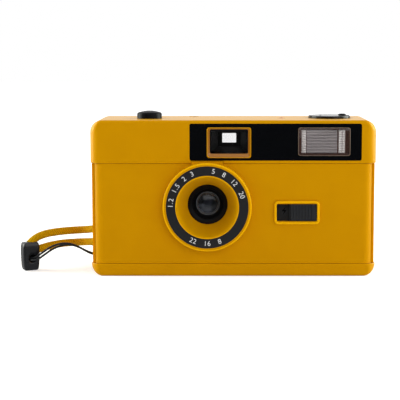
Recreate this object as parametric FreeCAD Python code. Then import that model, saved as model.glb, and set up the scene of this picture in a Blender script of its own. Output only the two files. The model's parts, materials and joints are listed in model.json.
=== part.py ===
import FreeCAD, Part
import math
import os
from FreeCAD import Vector

# Compact focus-free 35 mm film camera with built-in flash and wrist strap.
# Millimetres, +Z up, front of the camera faces -Y, origin under the middle of the body.

# Casing sizes: the film path inside sets the width, depth and height
left_side_room = 1.7
right_side_room = 1.9
back_room = 5.95
top_room = 15.75
wall = 1.6
plan_radius = 4.0
top_corner_radius = 5.2
bottom_corner_radius = 4.8
edge_radius = 1.0
lip_radius = 0.3
top_cover_height = 17.3
bottom_band_height = 5.0
cover_step = 0.45
front_cover_inset = 1.0
side_seam_setback = 8.0
seam_gap = 0.1

# Places along the film path, from the lens axis
lens_to_sprocket = 15.2
lens_to_spool = 31.6
lens_to_cartridge = 50.1
film_floor_room = 7.65

# Lens ring and lens sizes
ring_projection = 4.0
ring_front_radius = 17.4
ring_base_radius = 18.05
label_outer_radius = 16.5
label_inner_radius = 12.75
label_thickness = 0.5
funnel_front_radius = 12.25
funnel_end_radius = 7.93
funnel_depth = 11.3
funnel_wall = 1.2
bridge_width = 12.6
bridge_projection = 1.1
barrel_radius = 8.9
barrel_front_hole = 7.0
glass_radius = 5.6
glass_view_radius = 4.74
glass_setback = 4.6
glass_thickness = 2.1
barrel_length = 9.2
flange_radius = 11.8
flange_thickness = 1.6
aperture_hole_radius = 1.75
aperture_thickness = 0.3
shutter_plate_thickness = 1.2
shutter_plate_width = 30.0
shutter_plate_height = 25.0
shutter_hole_radius = 3.2
blade_thickness = 0.3
blade_cover_radius = 4.4
blade_offset = 8.0
blade_room = 1.0

# Film path sizes
film_width = 35.0
gate_width = 36.0
gate_height = 24.0
film_plane_setback = 28.0
gate_thickness = 2.4
rail_height = 0.4
chassis_wall = 1.2
chassis_floor = 1.6
cartridge_radius = 13.1
cartridge_room_height = 46.6
spool_room_radius = 11.0
spool_core_radius = 4.6
spool_flange_radius = 9.4
wheel_radius = 13.2
wheel_projection = 1.2
wheel_thickness = 3.4
wheel_grooves = 60
sprocket_radius = 6.05
sprocket_teeth = 8
tooth_height = 1.3
tooth_width = 1.3
tooth_depth = 2.0
sprocket_height = 3.4
shaft_radius = 1.5

# Viewfinder, flash and panel sizes
panel_thickness = 0.8
panel_sink = 0.1
bezel_width = 17.7
bezel_height = 12.2
bezel_wall = 1.1
bezel_depth = 4.0
finder_rear_width = 6.6
finder_rear_height = 4.5
finder_lens_thickness = 1.2
finder_lens_radius = 7.3
tunnel_wall = 0.8
eyepiece_width = 11.0
eyepiece_height = 8.6
flash_width = 20.8
flash_height = 11.3
reflector_depth = 6.5
tube_radius = 1.5
tube_length = 21.6

# Controls
button_radius = 5.05
button_rise = 2.8
button_dome = 0.7
button_travel = 1.8
button_stem_radius = 1.6
crank_setback = 17.7
disc_radius = 8.7
disc_rise = 1.1
disc_sink = 0.75
lever_width = 4.6
lever_thickness = 0.9
lever_reach = 6.4
lever_hinge_offset = -3.0
knob_radius = 1.55
knob_rise = 0.9
switch_width = 18.2
switch_height = 9.5
switch_rise = 0.5
switch_open_width = 16.2
switch_open_height = 7.0
slider_width = 10.3
slider_ribs = 7
counter_radius = 6.2
counter_steps = 40
counter_window_radius = 2.2
lamp_radius = 1.7

# Power and electronics
battery_radius = 5.25
battery_length = 44.5
battery_lift = 0.5
battery_to_cartridge = 16.55
contact_room = 3.2
capacitor_radius = 5.5
capacitor_length = 20.0
board_thickness = 1.2

# Wrist strap
thin_cord = 0.85
strap_cord = 3.2
clamp_x = -84.3
clamp_y = -1.6
clamp_width = 7.6
clamp_depth = 5.2
clamp_height = 11.8
lug_y = 3.6
lug_z = 6.0
lug_radius = 0.6
lug_pocket = 2.35
lug_room = 5.4

# Clearances
running = 0.05
free = 0.3
slide_gap = 0.15

# Derived places
body_width = (left_side_room + right_side_room + 2 * wall + 2 * chassis_wall + spool_room_radius
              + lens_to_spool + lens_to_cartridge + cartridge_radius)
body_depth = cover_step + film_plane_setback + back_room
lens_z = wall + chassis_floor + film_floor_room + film_width / 2
film_top = lens_z + film_width / 2
deck_z = film_top + 0.2
deck_top = deck_z + chassis_wall
body_height = deck_top + top_room
half_width = body_width / 2
lens_x = -half_width + wall + left_side_room + chassis_wall + spool_room_radius + lens_to_spool
spool_x = lens_x - lens_to_spool
sprocket_x = lens_x - lens_to_sprocket
crank_x = lens_x + lens_to_cartridge
front_y = ring_projection - cover_step - (body_depth + ring_projection - cover_step + wheel_projection) / 2
rear_y = front_y + body_depth
front_face = front_y + cover_step
seam_y = front_face + side_seam_setback
top_z = body_height - top_cover_height
film_y = front_face + film_plane_setback
spool_y = rear_y + wheel_projection - wheel_radius
sprocket_y = film_y - sprocket_radius
crank_y = front_face + crank_setback
chamber_floor = wall + chassis_floor
chamber_top = chamber_floor + cartridge_room_height
barrel_y = front_face - ring_projection + funnel_depth + seam_gap
barrel_end = barrel_y + barrel_length
glass_y = barrel_y + glass_setback
shutter_y = barrel_end + aperture_thickness
blade_room_y = shutter_y + shutter_plate_thickness
mount_y = blade_room_y + blade_room
battery_y = front_face + wall + 0.7 + battery_radius
battery_z = wall + battery_lift + battery_radius
door_bottom = bottom_band_height + 0.25
door_top = top_z - 0.25
hinge_radius = 3.2
hinge_x = -half_width + hinge_radius
hinge_y = rear_y - hinge_radius
hinge_pin_radius = 0.9
knuckle_length = 6.6
door_thickness = 2.0
door_wrap = 9.4
switch_plate_margin = 2.0
switch_plate_thickness = 0.8
reflector_wall = 0.4
reflector_back_height = 4.6
reflector_side_room = 1.1
reflector_end_room = 0.8
slider_margin = 0.9

# Derived places that several pieces share
bridge_overlap = 0.9
wheel_z = deck_top + free
panel_right = half_width - 6.1
panel_bottom = top_z + 1.1
panel_top = body_height - 1.35
finder_x = lens_x + 8.7
finder_z = top_z + 8.3
panel_left = finder_x - 15.8
flash_x = panel_right - 15.0
flash_z = top_z + 8.7
button_x = spool_x + 7.7
button_y = front_face + 13.975
switch_x = lens_x + 36.0
switch_z = lens_z - 2.5
counter_x = sprocket_x + 5.6
counter_y = sprocket_y + 2.225
counter_window_x = counter_x + 3.5
counter_window_y = counter_y + 2.3
lamp_x = flash_x - 16.6
lamp_y = front_face + 15.975
battery_x = crank_x - battery_to_cartridge - battery_length / 2
post_x = half_width - 5.1
post_y = front_y + 5.2
post_radius = 2.2
bush_radius = 3.2
shaft_r = 2.0
bush_z0 = chamber_top + 2.6
knuckle_low_end = door_bottom + knuckle_length
knuckle_high_start = door_top - knuckle_length
latch_z = lens_z
latch_y = rear_y - 6.0
latch_travel = 3.0
plate_y = film_y + 0.25
plate_thickness = 0.9
stud_radius = 1.4
lever_z0 = body_height + disc_rise - lever_thickness - 0.02
lever_axis_z = lever_z0 + lever_thickness / 2
knob_shift = 0.8
spring_solid = 1.6
lever_tip_z = body_height - 7.8
lever_x = lens_x - 13.6
lever_z = deck_top + 3.35
lever_y = button_y - 0.8
guide_z = body_height - wall - 1.4 - button_travel - spring_solid - 1.0
post_right = lever_x + 1.4
post_thickness = 1.0
blade_x = lens_x + blade_offset
blade_z = lens_z + blade_offset
rear_dish_radius = 13.0
rear_dish_depth = 0.9
lens_screw_angles = (30.0, 150.0, 270.0)
lens_screw_radius = 0.7
release_radius = 2.4
release_travel = 1.2
shaft_low = chamber_floor + 3.0
cam_z = deck_top + 0.6
cam_thickness = 1.2
cam_radius = 1.25
dial_post_radius = 1.1
dial_z = body_height - wall - 0.6 - free - 1.0
chamber_back = rear_y - door_thickness - 1.0
roof_front = front_y + wall + 0.9 + reflector_depth + 0.4
tube_y = front_y + wall + 0.9 + reflector_depth - 2.6
slider_x = switch_x + switch_open_width / 2 - slider_width / 2 - slide_gap
board_x0 = switch_x - 17.1
board_x1 = switch_x
board_z0 = battery_z + battery_radius + 2.0
capacitor_y = front_face + wall + 2 * slide_gap + 1.6 + board_thickness + capacitor_radius + 0.05
capacitor_x = board_x0 + 8.5
capacitor_z = board_z0 + 0.5
transformer_x = board_x0 + 6.5
transformer_z = capacitor_z + capacitor_length + 0.6
transformer_height = 8.5
board_z1 = transformer_z + transformer_height + 0.5
battery_hatch_y0 = battery_y - battery_radius
battery_hatch_y1 = battery_y + battery_radius
door_battery_x0 = battery_x - battery_length / 2 - 1.0
door_battery_x1 = battery_x + battery_length / 2 + 1.0
screw_radius = 0.85
head_radius = 1.7
head_height = 0.9
screw_places = [(-post_x, front_face + 5.4), (post_x, front_face + 5.4)]
hole_x = -83.6
hole_z = 5.1


# Basic forms
def block(x0, x1, y0, y1, z0, z1):
    return Part.makeBox(x1 - x0, y1 - y0, z1 - z0, Vector(x0, y0, z0))


def centred_block(x, z, width, height, y0, y1):
    return block(x - width / 2, x + width / 2, y0, y1, z - height / 2, z + height / 2)


def rod(x, y, z0, z1, radius):
    return Part.makeCylinder(radius, z1 - z0, Vector(x, y, z0), Vector(0, 0, 1))


def rod_x(y, z, x0, x1, radius):
    return Part.makeCylinder(radius, x1 - x0, Vector(x0, y, z), Vector(1, 0, 0))


def rod_y(x, z, y0, y1, radius):
    return Part.makeCylinder(radius, y1 - y0, Vector(x, y0, z), Vector(0, 1, 0))


def cone_y(x, z, y0, y1, radius0, radius1):
    return Part.makeCone(radius0, radius1, y1 - y0, Vector(x, y0, z), Vector(0, 1, 0))



def tube(x, y, z0, z1, outer, inner):
    return rod(x, y, z0, z1, outer).cut(rod(x, y, z0, z1, inner))


def fuse(*shapes):
    result = shapes[0]
    for shape in shapes[1:]:
        result = result.fuse(shape)
    return result.removeSplitter()


def cut(shape, *tools):
    for tool in tools:
        shape = shape.cut(tool)
    return shape


def edges_along(shape, axis, test=None):
    found = []
    for edge in shape.Edges:
        box = edge.BoundBox
        lengths = {"x": box.XLength, "y": box.YLength, "z": box.ZLength}
        others = [lengths[key] for key in lengths if key != axis]
        if lengths[axis] > 0.05 and max(others) < 1e-4 and (test is None or test(box)):
            found.append(edge)
    return found


def rounded(shape, axis, radius, test=None):
    return shape.makeFillet(radius, edges_along(shape, axis, test))


def hull_plate(points, radii, y0, y1):
    """Flat link in the XZ plane: discs joined by straight webs."""
    shapes = [rod_y(x, z, y0, y1, radius) for (x, z), radius in zip(points, radii)]
    for index in range(len(points) - 1):
        shapes.append(web(points[index], radii[index], points[index + 1], radii[index + 1], y0, y1))
    return fuse(*shapes)


def web(start, start_radius, end, end_radius, y0, y1):
    dx = end[0] - start[0]
    dz = end[1] - start[1]
    length = math.hypot(dx, dz)
    side = Vector(-dz / length, 0, dx / length)
    corners = [
        Vector(start[0], y0, start[1]) + side * start_radius,
        Vector(end[0], y0, end[1]) + side * end_radius,
        Vector(end[0], y0, end[1]) - side * end_radius,
        Vector(start[0], y0, start[1]) - side * start_radius,
    ]
    face = Part.Face(Part.makePolygon(corners + corners[:1]))
    return face.extrude(Vector(0, y1 - y0, 0))


def rounded_cap(corner_radius):
    """Closed casing end, 30 mm tall under z = 0: round corners that flow into a small edge radius."""
    shape = block(-half_width, half_width, front_y, rear_y, -30.0, 0.0)
    shape = rounded(shape, "y", corner_radius, lambda box: box.ZMin > -1.0)
    document = FreeCAD.newDocument("cap")
    source = document.addObject("Part::Feature", "source")
    source.Shape = shape
    fillet = document.addObject("Part::Fillet", "fillet")
    fillet.Base = source
    radii = []
    for index, edge in enumerate(shape.Edges):
        box = edge.BoundBox
        if box.YLength > 1e-4:
            continue
        if box.XLength < 1e-4:
            radii.append((index + 1, plan_radius, plan_radius))
        elif box.XLength > body_width / 2 and box.ZMin > -1.0:
            radii.append((index + 1, edge_radius, edge_radius))
        elif box.ZMin > -1.5 * corner_radius and box.XMin > 0:
            radii.append((index + 1, edge_radius, plan_radius))
        elif box.ZMin > -1.5 * corner_radius:
            radii.append((index + 1, plan_radius, edge_radius))
    fillet.Edges = radii
    document.recompute()
    result = fillet.Shape.copy()
    FreeCAD.closeDocument(document.Name)
    return result


def cavity(z0, z1, corner_radius, at_top):
    """Hollow of a casing end, one wall inside the outer form."""
    shape = block(-half_width + wall, half_width - wall, front_y + wall, rear_y - wall, z0, z1)
    shape = rounded(shape, "z", plan_radius - wall)
    profile = block(-half_width + wall, half_width - wall, front_y, rear_y, z0, z1)
    if at_top:
        profile = rounded(profile, "y", corner_radius - wall, lambda box: box.ZMin > z1 - 0.1)
    else:
        profile = rounded(profile, "y", corner_radius - wall, lambda box: box.ZMax < z0 + 0.1)
    return shape.common(profile)


# Casing parts
def top_cover():
    outer = rounded_cap(top_corner_radius)
    outer.translate(Vector(0, 0, body_height))
    outer = outer.common(block(-80, 80, -60, 60, top_z, body_height + 5))
    outer = outer.makeFillet(lip_radius, [e for e in outer.Edges if e.BoundBox.ZMax < top_z + 1e-3])
    shape = outer.cut(cavity(top_z - 1.0, body_height - wall, top_corner_radius, True))
    panel = panel_block(0.0)
    seat = block(panel_left - 1.2, panel_right + 1.2, front_y + wall - 0.05, front_y + wall + 0.8,
                 panel_bottom - 0.4, body_height - wall)
    shape = fuse(shape, seat)
    shape = shape.cut(panel)
    bezel = centred_block(finder_x, finder_z, bezel_width, bezel_height, front_y, front_y + bezel_depth)
    bezel = rounded(bezel, "y", 0.9)
    bezel_open = centred_block(finder_x, finder_z, bezel_width - 2 * bezel_wall,
                               bezel_height - 2 * bezel_wall,
                               front_y - 1, front_y + bezel_depth + 1)
    bezel_open = rounded(bezel_open, "y", 0.5)
    shape = fuse(shape, bezel).cut(bezel_open)
    flash_open = centred_block(flash_x, flash_z, flash_width - 1.0, flash_height - 1.0, front_y - 1,
                               front_y + 4)
    shape = shape.cut(flash_open)
    ring_notch = rod_y(lens_x, lens_z, front_y - 1, front_y + wall + 1, ring_base_radius + slide_gap)
    shape = shape.cut(ring_notch)
    bridge = block(lens_x - bridge_width / 2 - slide_gap, lens_x + bridge_width / 2 + slide_gap,
                   front_y - 1, front_y + wall + 1, top_z - 1, top_z + bridge_overlap + slide_gap)
    shape = shape.cut(bridge)
    shape = shape.cut(rod(button_x, button_y, body_height - wall - 1, body_height + 1,
                          button_radius + slide_gap))
    boss = rod(crank_x, crank_y, body_height - wall - disc_sink - 0.6, body_height - wall + 0.1,
               disc_radius + 1.4)
    shape = fuse(shape, boss)
    dish = rod(crank_x, crank_y, body_height - disc_sink - slide_gap, body_height + 1,
               disc_radius + slide_gap)
    bush_hole = rod(crank_x, crank_y, body_height - 6, body_height + 1, bush_radius + running)
    shape = cut(shape, dish, bush_hole)
    counter_hole = rod(counter_window_x, counter_window_y, body_height - wall - 1, body_height + 1,
                       counter_window_radius)
    lamp_hole = rod(lamp_x, lamp_y, body_height - wall - 1, body_height + 1, lamp_radius + running)
    shape = cut(shape, counter_hole, lamp_hole)
    wheel_slot = block(spool_x - 11.0, spool_x + 11.0, rear_y - wall - 1, rear_y + 1,
                       wheel_z - free, wheel_z + wheel_thickness + free)
    shape = shape.cut(wheel_slot)
    thumb = rod_y(spool_x, wheel_z + wheel_thickness / 2, rear_y - 1.0, rear_y + 1, 7.0)
    eye_open = centred_block(finder_x, finder_z, eyepiece_width, eyepiece_height, rear_y - wall - 1,
                             rear_y + 1)
    eye_open = rounded(eye_open, "y", 1.2)
    posts = []
    for x in (-post_x, post_x):
        post = rod(x, post_y, top_z - 0.0, body_height - wall + 0.1, post_radius)
        posts.append(post.fuse(block(x - 1.0, x + 1.0, front_y + wall - 0.1, post_y, top_z,
                                     body_height - wall + 0.1)))
    shape = shape.cut(eye_open)
    shape = shape.cut(thumb.common(block(-80, 80, rear_y - 0.8, rear_y + 1, wheel_z + 1,
                                         body_height - 3.0)))
    return fuse(shape, *posts)


def panel_block(shrink):
    panel = block(panel_left + shrink, panel_right - shrink, front_y + panel_sink * (1 if shrink else -10),
                  front_y + panel_sink + panel_thickness, panel_bottom + shrink, panel_top - shrink)
    return rounded(panel, "y", 0.8)


def body_shell():
    outer = rounded_cap(bottom_corner_radius)
    outer.rotate(Vector(0, (front_y + rear_y) / 2, 0), Vector(0, 1, 0), 180)
    outer = outer.common(block(-80, 80, -60, 60, -5, bottom_band_height))
    outer = outer.makeFillet(lip_radius,
                             [e for e in outer.Edges if e.BoundBox.ZMin > bottom_band_height - 1e-3])
    shape = outer.cut(cavity(wall, bottom_band_height + 1.0, bottom_corner_radius, False))
    wall_top = top_z - seam_gap
    wall_low = bottom_band_height - 0.6
    left_wall = block(-half_width, -half_width + wall, seam_y + seam_gap, hinge_y + 0.4, wall_low, wall_top)
    clear = rod(hinge_x, hinge_y, knuckle_low_end, knuckle_high_start, hinge_radius + free)
    left_wall = left_wall.cut(clear)
    right_wall = block(half_width - wall, half_width, seam_y + seam_gap, rear_y - door_wrap - 0.25,
                       wall_low, wall_top)
    shape = fuse(shape, left_wall, right_wall)
    for z0, z1 in ((door_bottom - 0.25, knuckle_low_end - free / 2),
                   (knuckle_high_start + free / 2, wall_top)):
        knuckle = rod(hinge_x, hinge_y, z0, z1, hinge_radius)
        root = block(-half_width, hinge_x, hinge_y - hinge_radius, hinge_y, z0, z1)
        shape = fuse(shape, knuckle,
                     root.cut(rod(hinge_x, hinge_y, z0, z1, hinge_radius - 0.05)).fuse(knuckle))
    shape = shape.cut(rod(hinge_x, hinge_y, wall, wall_top - 1.0, hinge_pin_radius + running))
    room = block(door_battery_x0 - slide_gap, door_battery_x1 + slide_gap,
                 battery_hatch_y0 - slide_gap, battery_hatch_y1 + slide_gap, -1, wall + 1)
    shape = shape.cut(room)
    shape = shape.cut(rod(sprocket_x, sprocket_y, -1, wall + 1, release_radius + slide_gap))
    for x, y in screw_places:
        shape = cut(shape, rod(x, y, -1, wall + 1, screw_radius + 0.1), rod(x, y, -1, head_height + 0.2,
                                                                         head_radius + 0.2))
    lug_cut = block(-half_width - 1, -half_width + lug_pocket, lug_y - lug_room / 2, lug_y + lug_room / 2,
                    lug_z - lug_room / 2 + 0.4, lug_z + lug_room / 2)
    lug_back = block(-half_width, -half_width + lug_pocket + 0.75, lug_y - lug_room / 2 - 1.2,
                     lug_y + lug_room / 2 + 1.2,
                     bottom_band_height - 3.2, lug_z + lug_room / 2 + 1.2)
    bar = rod(-half_width + lug_radius + 0.15, lug_y, lug_z - lug_room / 2 - 0.2,
              lug_z + lug_room / 2 + 0.4,
              lug_radius)
    shape = fuse(shape, lug_back).cut(lug_cut)
    shape = fuse(shape, bar)
    return shape


def front_cover():
    half = half_width - front_cover_inset
    low = bottom_band_height + seam_gap
    high = top_z - seam_gap
    outer = block(-half, half, front_face, seam_y + 10, low, high)
    outer = rounded(outer, "z", plan_radius, lambda box: box.YMax < front_face + 1)
    inner = block(-half + wall, half - wall, front_face + wall, seam_y + 11, low - 1, high + 1)
    inner = rounded(inner, "z", plan_radius - wall, lambda box: box.YMax < front_face + wall + 1)
    shape = outer.cut(inner).common(block(-80, 80, -60, seam_y, 0, 80))
    ring = cone_y(lens_x, lens_z, front_face - ring_projection, front_face + 0.5, ring_front_radius,
                  ring_base_radius)
    ring = ring.makeFillet(0.5,
                           [e for e in ring.Edges if e.BoundBox.YMax < front_face - ring_projection + 0.01])
    bridge = block(lens_x - bridge_width / 2, lens_x + bridge_width / 2, front_face - bridge_projection,
                   front_face + 1.0, top_z - 3.0, top_z + bridge_overlap)
    funnel_back = front_face - ring_projection + funnel_depth
    sleeve = cone_y(lens_x, lens_z, front_face, funnel_back, funnel_front_radius + 0.6,
                    funnel_end_radius + funnel_wall)
    shape = fuse(shape, ring, bridge, sleeve)
    hollow = cone_y(lens_x, lens_z, front_face - ring_projection - 0.01, funnel_back + 0.01,
                    funnel_front_radius, funnel_end_radius)
    label_seat = rod_y(lens_x, lens_z, front_face - ring_projection - 1,
                       front_face - ring_projection + label_thickness, label_outer_radius + 0.03)
    label_seat = label_seat.cut(rod_y(lens_x, lens_z, front_face - ring_projection - 2, front_face,
                                      label_inner_radius - 0.03))
    shape = cut(shape, hollow, label_seat)
    bezel = centred_block(switch_x, switch_z, switch_width, switch_height, front_face - switch_rise,
                          front_face + 0.5)
    bezel = rounded(bezel, "y", 1.0)
    opening = centred_block(switch_x, switch_z, switch_open_width, switch_open_height, front_face - 2,
                            front_face + wall + 1)
    opening = rounded(opening, "y", 0.5)
    shape = fuse(shape, bezel).cut(opening)
    posts = []
    for x, y in screw_places[:2]:
        post = rod(x, y, low, high, post_radius)
        stay = block(x - 1.0, x + 1.0, front_face + wall - 0.1, y, low, high)
        posts.append(post.fuse(stay).cut(rod(x, y, low - 1, low + 7.0, screw_radius - 0.05)))
    return fuse(shape, *posts)


def back_door():
    panel = block(hinge_x, half_width, rear_y - door_thickness, rear_y, door_bottom, door_top)
    side = block(half_width - wall, half_width, rear_y - door_wrap, rear_y, door_bottom, door_top)
    shape = fuse(panel, side)
    shape = rounded(shape, "z", plan_radius, lambda box: box.XMin > 0 and box.YMin > rear_y - 0.01
                    and box.XMin > half_width - 0.01)
    inner = edges_along(shape, "z", lambda box: abs(box.XMin - half_width + wall) < 0.01
                        and abs(box.YMin - rear_y + door_thickness) < 0.01)
    shape = shape.makeFillet(plan_radius - wall, inner)
    for z0, z1 in ((door_bottom - 1, knuckle_low_end), (knuckle_high_start, door_top + 1)):
        shape = shape.cut(block(hinge_x - 5, hinge_x + hinge_radius + free, hinge_y - 5, rear_y + 1, z0,
                                z1))
        shape = shape.cut(rod(hinge_x, hinge_y, z0, z1, hinge_radius + free))
    knuckle = rod(hinge_x, hinge_y, knuckle_low_end + free / 2, knuckle_high_start - free / 2, hinge_radius)
    shape = fuse(shape, knuckle)
    shape = shape.cut(rod(hinge_x, hinge_y, door_bottom - 1, door_top + 1, hinge_pin_radius + running))
    latch_slot = block(half_width - wall - 1, half_width + 1, latch_y - 1.5 - running,
                       latch_y + 1.5 + running,
                       latch_z - 5.5 - latch_travel, latch_z + 5.5)
    shape = shape.cut(latch_slot)
    studs = []
    for z in (lens_z - 8.0, lens_z + 8.0):
        studs.append(rod_y(lens_x, z, plate_y + 0.45, rear_y - door_thickness + 0.1, stud_radius))
    return fuse(shape, *studs)


def battery_door():
    door = block(door_battery_x0, door_battery_x1, battery_hatch_y0, battery_hatch_y1, 0.0, wall)
    door = rounded(door, "x", wall / 2 - 0.01, lambda box: box.YMin > battery_hatch_y1 - 0.01)
    grip = block(battery_x - 6.0, battery_x + 6.0, battery_hatch_y0 + 0.9, battery_hatch_y0 + 1.9, -1, 0.5)
    return door.cut(grip)


# Front details
def window_panel():
    panel = panel_block(0.05)
    bezel_hole = centred_block(finder_x, finder_z, bezel_width + 0.1, bezel_height + 0.1, front_y - 1,
                               front_y + 3)
    flash_hole = centred_block(flash_x, flash_z, flash_width + 0.1, flash_height + 0.1, front_y - 1,
                               front_y + 3)
    return cut(panel, rounded(bezel_hole, "y", 0.9), rounded(flash_hole, "y", 0.7))


def lens_ring_label():
    start = front_face - ring_projection
    disc = rod_y(lens_x, lens_z, start, start + label_thickness, label_outer_radius)
    return disc.cut(rod_y(lens_x, lens_z, start - 1, start + 2, label_inner_radius))


def flash_window():
    seat_y = front_y + panel_sink + panel_thickness
    plate = centred_block(flash_x, flash_z, flash_width, flash_height, front_y - 0.15, seat_y)
    plate = rounded(plate, "y", 0.7)
    lower = centred_block(flash_x, flash_z, flash_width - 1.2, flash_height - 1.2, seat_y - 0.1,
                          front_y + wall + 0.6)
    grooves = []
    count = 16
    pitch = (flash_height - 2.0) / count
    for index in range(count):
        z = flash_z - flash_height / 2 + 1.0 + (index + 0.5) * pitch
        groove = rod_x(front_y + wall + 0.75, z, flash_x - 6.5, flash_x + 6.5, pitch * 0.48)
        grooves.append(groove)
    return cut(fuse(plate, lower), *grooves)


def flash_switch():
    face = front_face - switch_rise
    body = centred_block(slider_x, switch_z, slider_width, switch_open_height - 2 * slide_gap, face + 0.25,
                         front_face + wall + 0.2)
    body = rounded(body, "y", 0.5)
    ribs = []
    pitch = (slider_width - 2 * slider_margin) / slider_ribs
    for index in range(slider_ribs):
        x = slider_x - slider_width / 2 + slider_margin + (index + 0.5) * pitch
        ribs.append(centred_block(x, switch_z, pitch * 0.5, switch_open_height - 1.4, face - 0.35,
                                  face + 0.3))
    flange = centred_block(slider_x, switch_z, slider_width + 1.2, switch_open_height + 2.4,
                           front_face + wall + slide_gap, front_face + wall + slide_gap + 0.8)
    return fuse(body, flange, *ribs)


def switch_plate():
    y0 = front_face + wall + slide_gap + 0.8 + slide_gap
    return centred_block(switch_x, switch_z, switch_width + 2 * switch_plate_margin,
                         switch_height + switch_plate_margin, y0, y0 + switch_plate_thickness)


def flash_board():
    """Circuit board of the flash with its stand-off to the switch plate."""
    y0 = front_face + wall + 2 * slide_gap + 1.6
    board = block(board_x0, board_x1, y0, y0 + board_thickness, board_z0, board_z1)
    return board


# Viewfinder
def finder_front_lens():
    y0 = front_y + bezel_depth
    plate = centred_block(finder_x, finder_z, bezel_width, bezel_height, y0, y0 + finder_lens_thickness)
    ring = rod_y(finder_x, finder_z, y0 - 0.25, y0 + 0.2, finder_lens_radius)
    inner = centred_block(finder_x, finder_z, bezel_width - 2 * bezel_wall - 0.4,
                          bezel_height - 2 * bezel_wall - 0.4, y0 - 1, y0 + 1)
    return fuse(plate, ring.common(inner))


def frustum(x, z, y0, width0, height0, y1, width1, height1):
    wires = []
    for y, width, height in ((y0, width0, height0), (y1, width1, height1)):
        corners = [Vector(x - width / 2, y, z - height / 2), Vector(x + width / 2, y, z - height / 2),
                   Vector(x + width / 2, y, z + height / 2), Vector(x - width / 2, y, z + height / 2)]
        wires.append(Part.makePolygon(corners + corners[:1]))
    return Part.makeLoft(wires, True, True)


def finder_tunnel():
    y0 = front_y + bezel_depth + finder_lens_thickness
    y1 = rear_y - wall - 2.0
    outer = frustum(finder_x, finder_z, y0, bezel_width, bezel_height - 0.4, y1, eyepiece_width,
                    eyepiece_height)
    inner = frustum(finder_x, finder_z, y0 - 0.01, bezel_width - 2 * tunnel_wall,
                    bezel_height - 0.4 - 2 * tunnel_wall,
                    y1 - 1.0, eyepiece_width - 2 * tunnel_wall, eyepiece_height - 2 * tunnel_wall)
    exit_hole = centred_block(finder_x, finder_z, finder_rear_width, finder_rear_height, y1 - 2, y1 + 1)
    shape = cut(outer, inner, exit_hole)
    foot = block(finder_x - 3.0, finder_x + 3.0, spool_y - 2.0, spool_y + 4.0, deck_top,
                 finder_z - bezel_height / 2 + 2.2)
    foot = foot.cut(frustum(finder_x, finder_z, y0 - 0.01, bezel_width - tunnel_wall,
                            bezel_height - 0.4 - tunnel_wall, y1, eyepiece_width - tunnel_wall,
                            eyepiece_height - tunnel_wall))
    return fuse(shape, foot)


def finder_rear_lens():
    y0 = rear_y - wall - 2.0
    return centred_block(finder_x, finder_z, eyepiece_width - 0.6, eyepiece_height - 0.6, y0, y0 + 1.4)


def eyepiece():
    y0 = rear_y - wall - 0.6
    frame = centred_block(finder_x, finder_z, eyepiece_width - 0.1, eyepiece_height - 0.1, y0, rear_y - 0.3)
    frame = rounded(frame, "y", 1.1)
    hole = centred_block(finder_x, finder_z, finder_rear_width + 0.6, finder_rear_height + 0.6, y0 - 1,
                         rear_y + 1)
    return frame.cut(rounded(hole, "y", 0.6))


# Flash
def flash_reflector():
    y0 = front_y + wall + 0.9
    y1 = y0 + reflector_depth
    width = flash_width - 2 * reflector_side_room
    height = flash_height - 2 * reflector_end_room
    inner_width = width - 2 * reflector_wall
    inner_height = height - 2 * reflector_wall
    outer = frustum(flash_x, flash_z, y0, width, height, y1, width - 1.0, reflector_back_height)
    inner = frustum(flash_x, flash_z, y0 - 0.01, inner_width, inner_height, y1 - 0.5, inner_width - 1.0,
                    reflector_back_height - 1.0)
    hole = rod_x(tube_y, flash_z, flash_x - width, flash_x + width, tube_radius + 0.05)
    return cut(outer, inner, hole)


def flash_tube():
    glass = rod_x(tube_y, flash_z, flash_x - tube_length / 2, flash_x + tube_length / 2, tube_radius)
    caps = []
    for side in (-1, 1):
        x = flash_x + side * tube_length / 2
        caps.append(rod_x(tube_y, flash_z, min(x, x + side * 0.8), max(x, x + side * 0.8),
                          tube_radius * 0.5))
    return fuse(glass, *caps)


def flash_capacitor():
    y = capacitor_y
    can = rod(capacitor_x, y, capacitor_z, capacitor_z + capacitor_length, capacitor_radius)
    can = can.makeFillet(0.5, [e for e in can.Edges if e.BoundBox.ZLength < 0.01])
    return can


def flash_transformer():
    y0 = front_face + wall + 2 * slide_gap + 1.6 + board_thickness
    core = block(transformer_x - 4.5, transformer_x + 4.5, y0, y0 + 7.0, transformer_z,
                 transformer_z + transformer_height)
    return core.makeFillet(0.4, edges_along(core, "y"))


def ready_lamp():
    z0 = body_height - wall - 1.6
    stem = rod(lamp_x, lamp_y, z0, body_height - 0.1, lamp_radius)
    flange = rod(lamp_x, lamp_y, z0, body_height - wall - 0.05, lamp_radius + 0.6)
    dome = Part.makeSphere(lamp_radius * 1.6,
                           Vector(lamp_x, lamp_y, body_height + 0.25 - lamp_radius * 1.6))
    dome = dome.common(rod(lamp_x, lamp_y, body_height - 0.3, body_height + 1, lamp_radius))
    return fuse(stem, flange, dome)


# Lens and shutter
def lens_barrel():
    shape = rod_y(lens_x, lens_z, barrel_y, barrel_end, barrel_radius)
    flange = rod_y(lens_x, lens_z, barrel_end - flange_thickness, barrel_end, flange_radius)
    shape = fuse(shape, flange)
    shape = shape.cut(cone_y(lens_x, lens_z, barrel_y - 0.01, glass_y - 0.4, barrel_front_hole,
                             glass_view_radius))
    shape = shape.cut(rod_y(lens_x, lens_z, glass_y - 0.5, barrel_end + 1, glass_view_radius))
    shape = shape.cut(rod_y(lens_x, lens_z, glass_y, barrel_end + 1, glass_radius + 0.02))
    shape = shape.cut(rod_y(lens_x, lens_z, glass_y - 0.01, glass_y + glass_thickness, glass_radius + 0.02))
    for angle in lens_screw_angles:
        x, z = lens_screw_place(angle)
        shape = shape.cut(rod_y(x, z, barrel_y, barrel_end + 1, lens_screw_radius + 0.1))
    return shape


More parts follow.
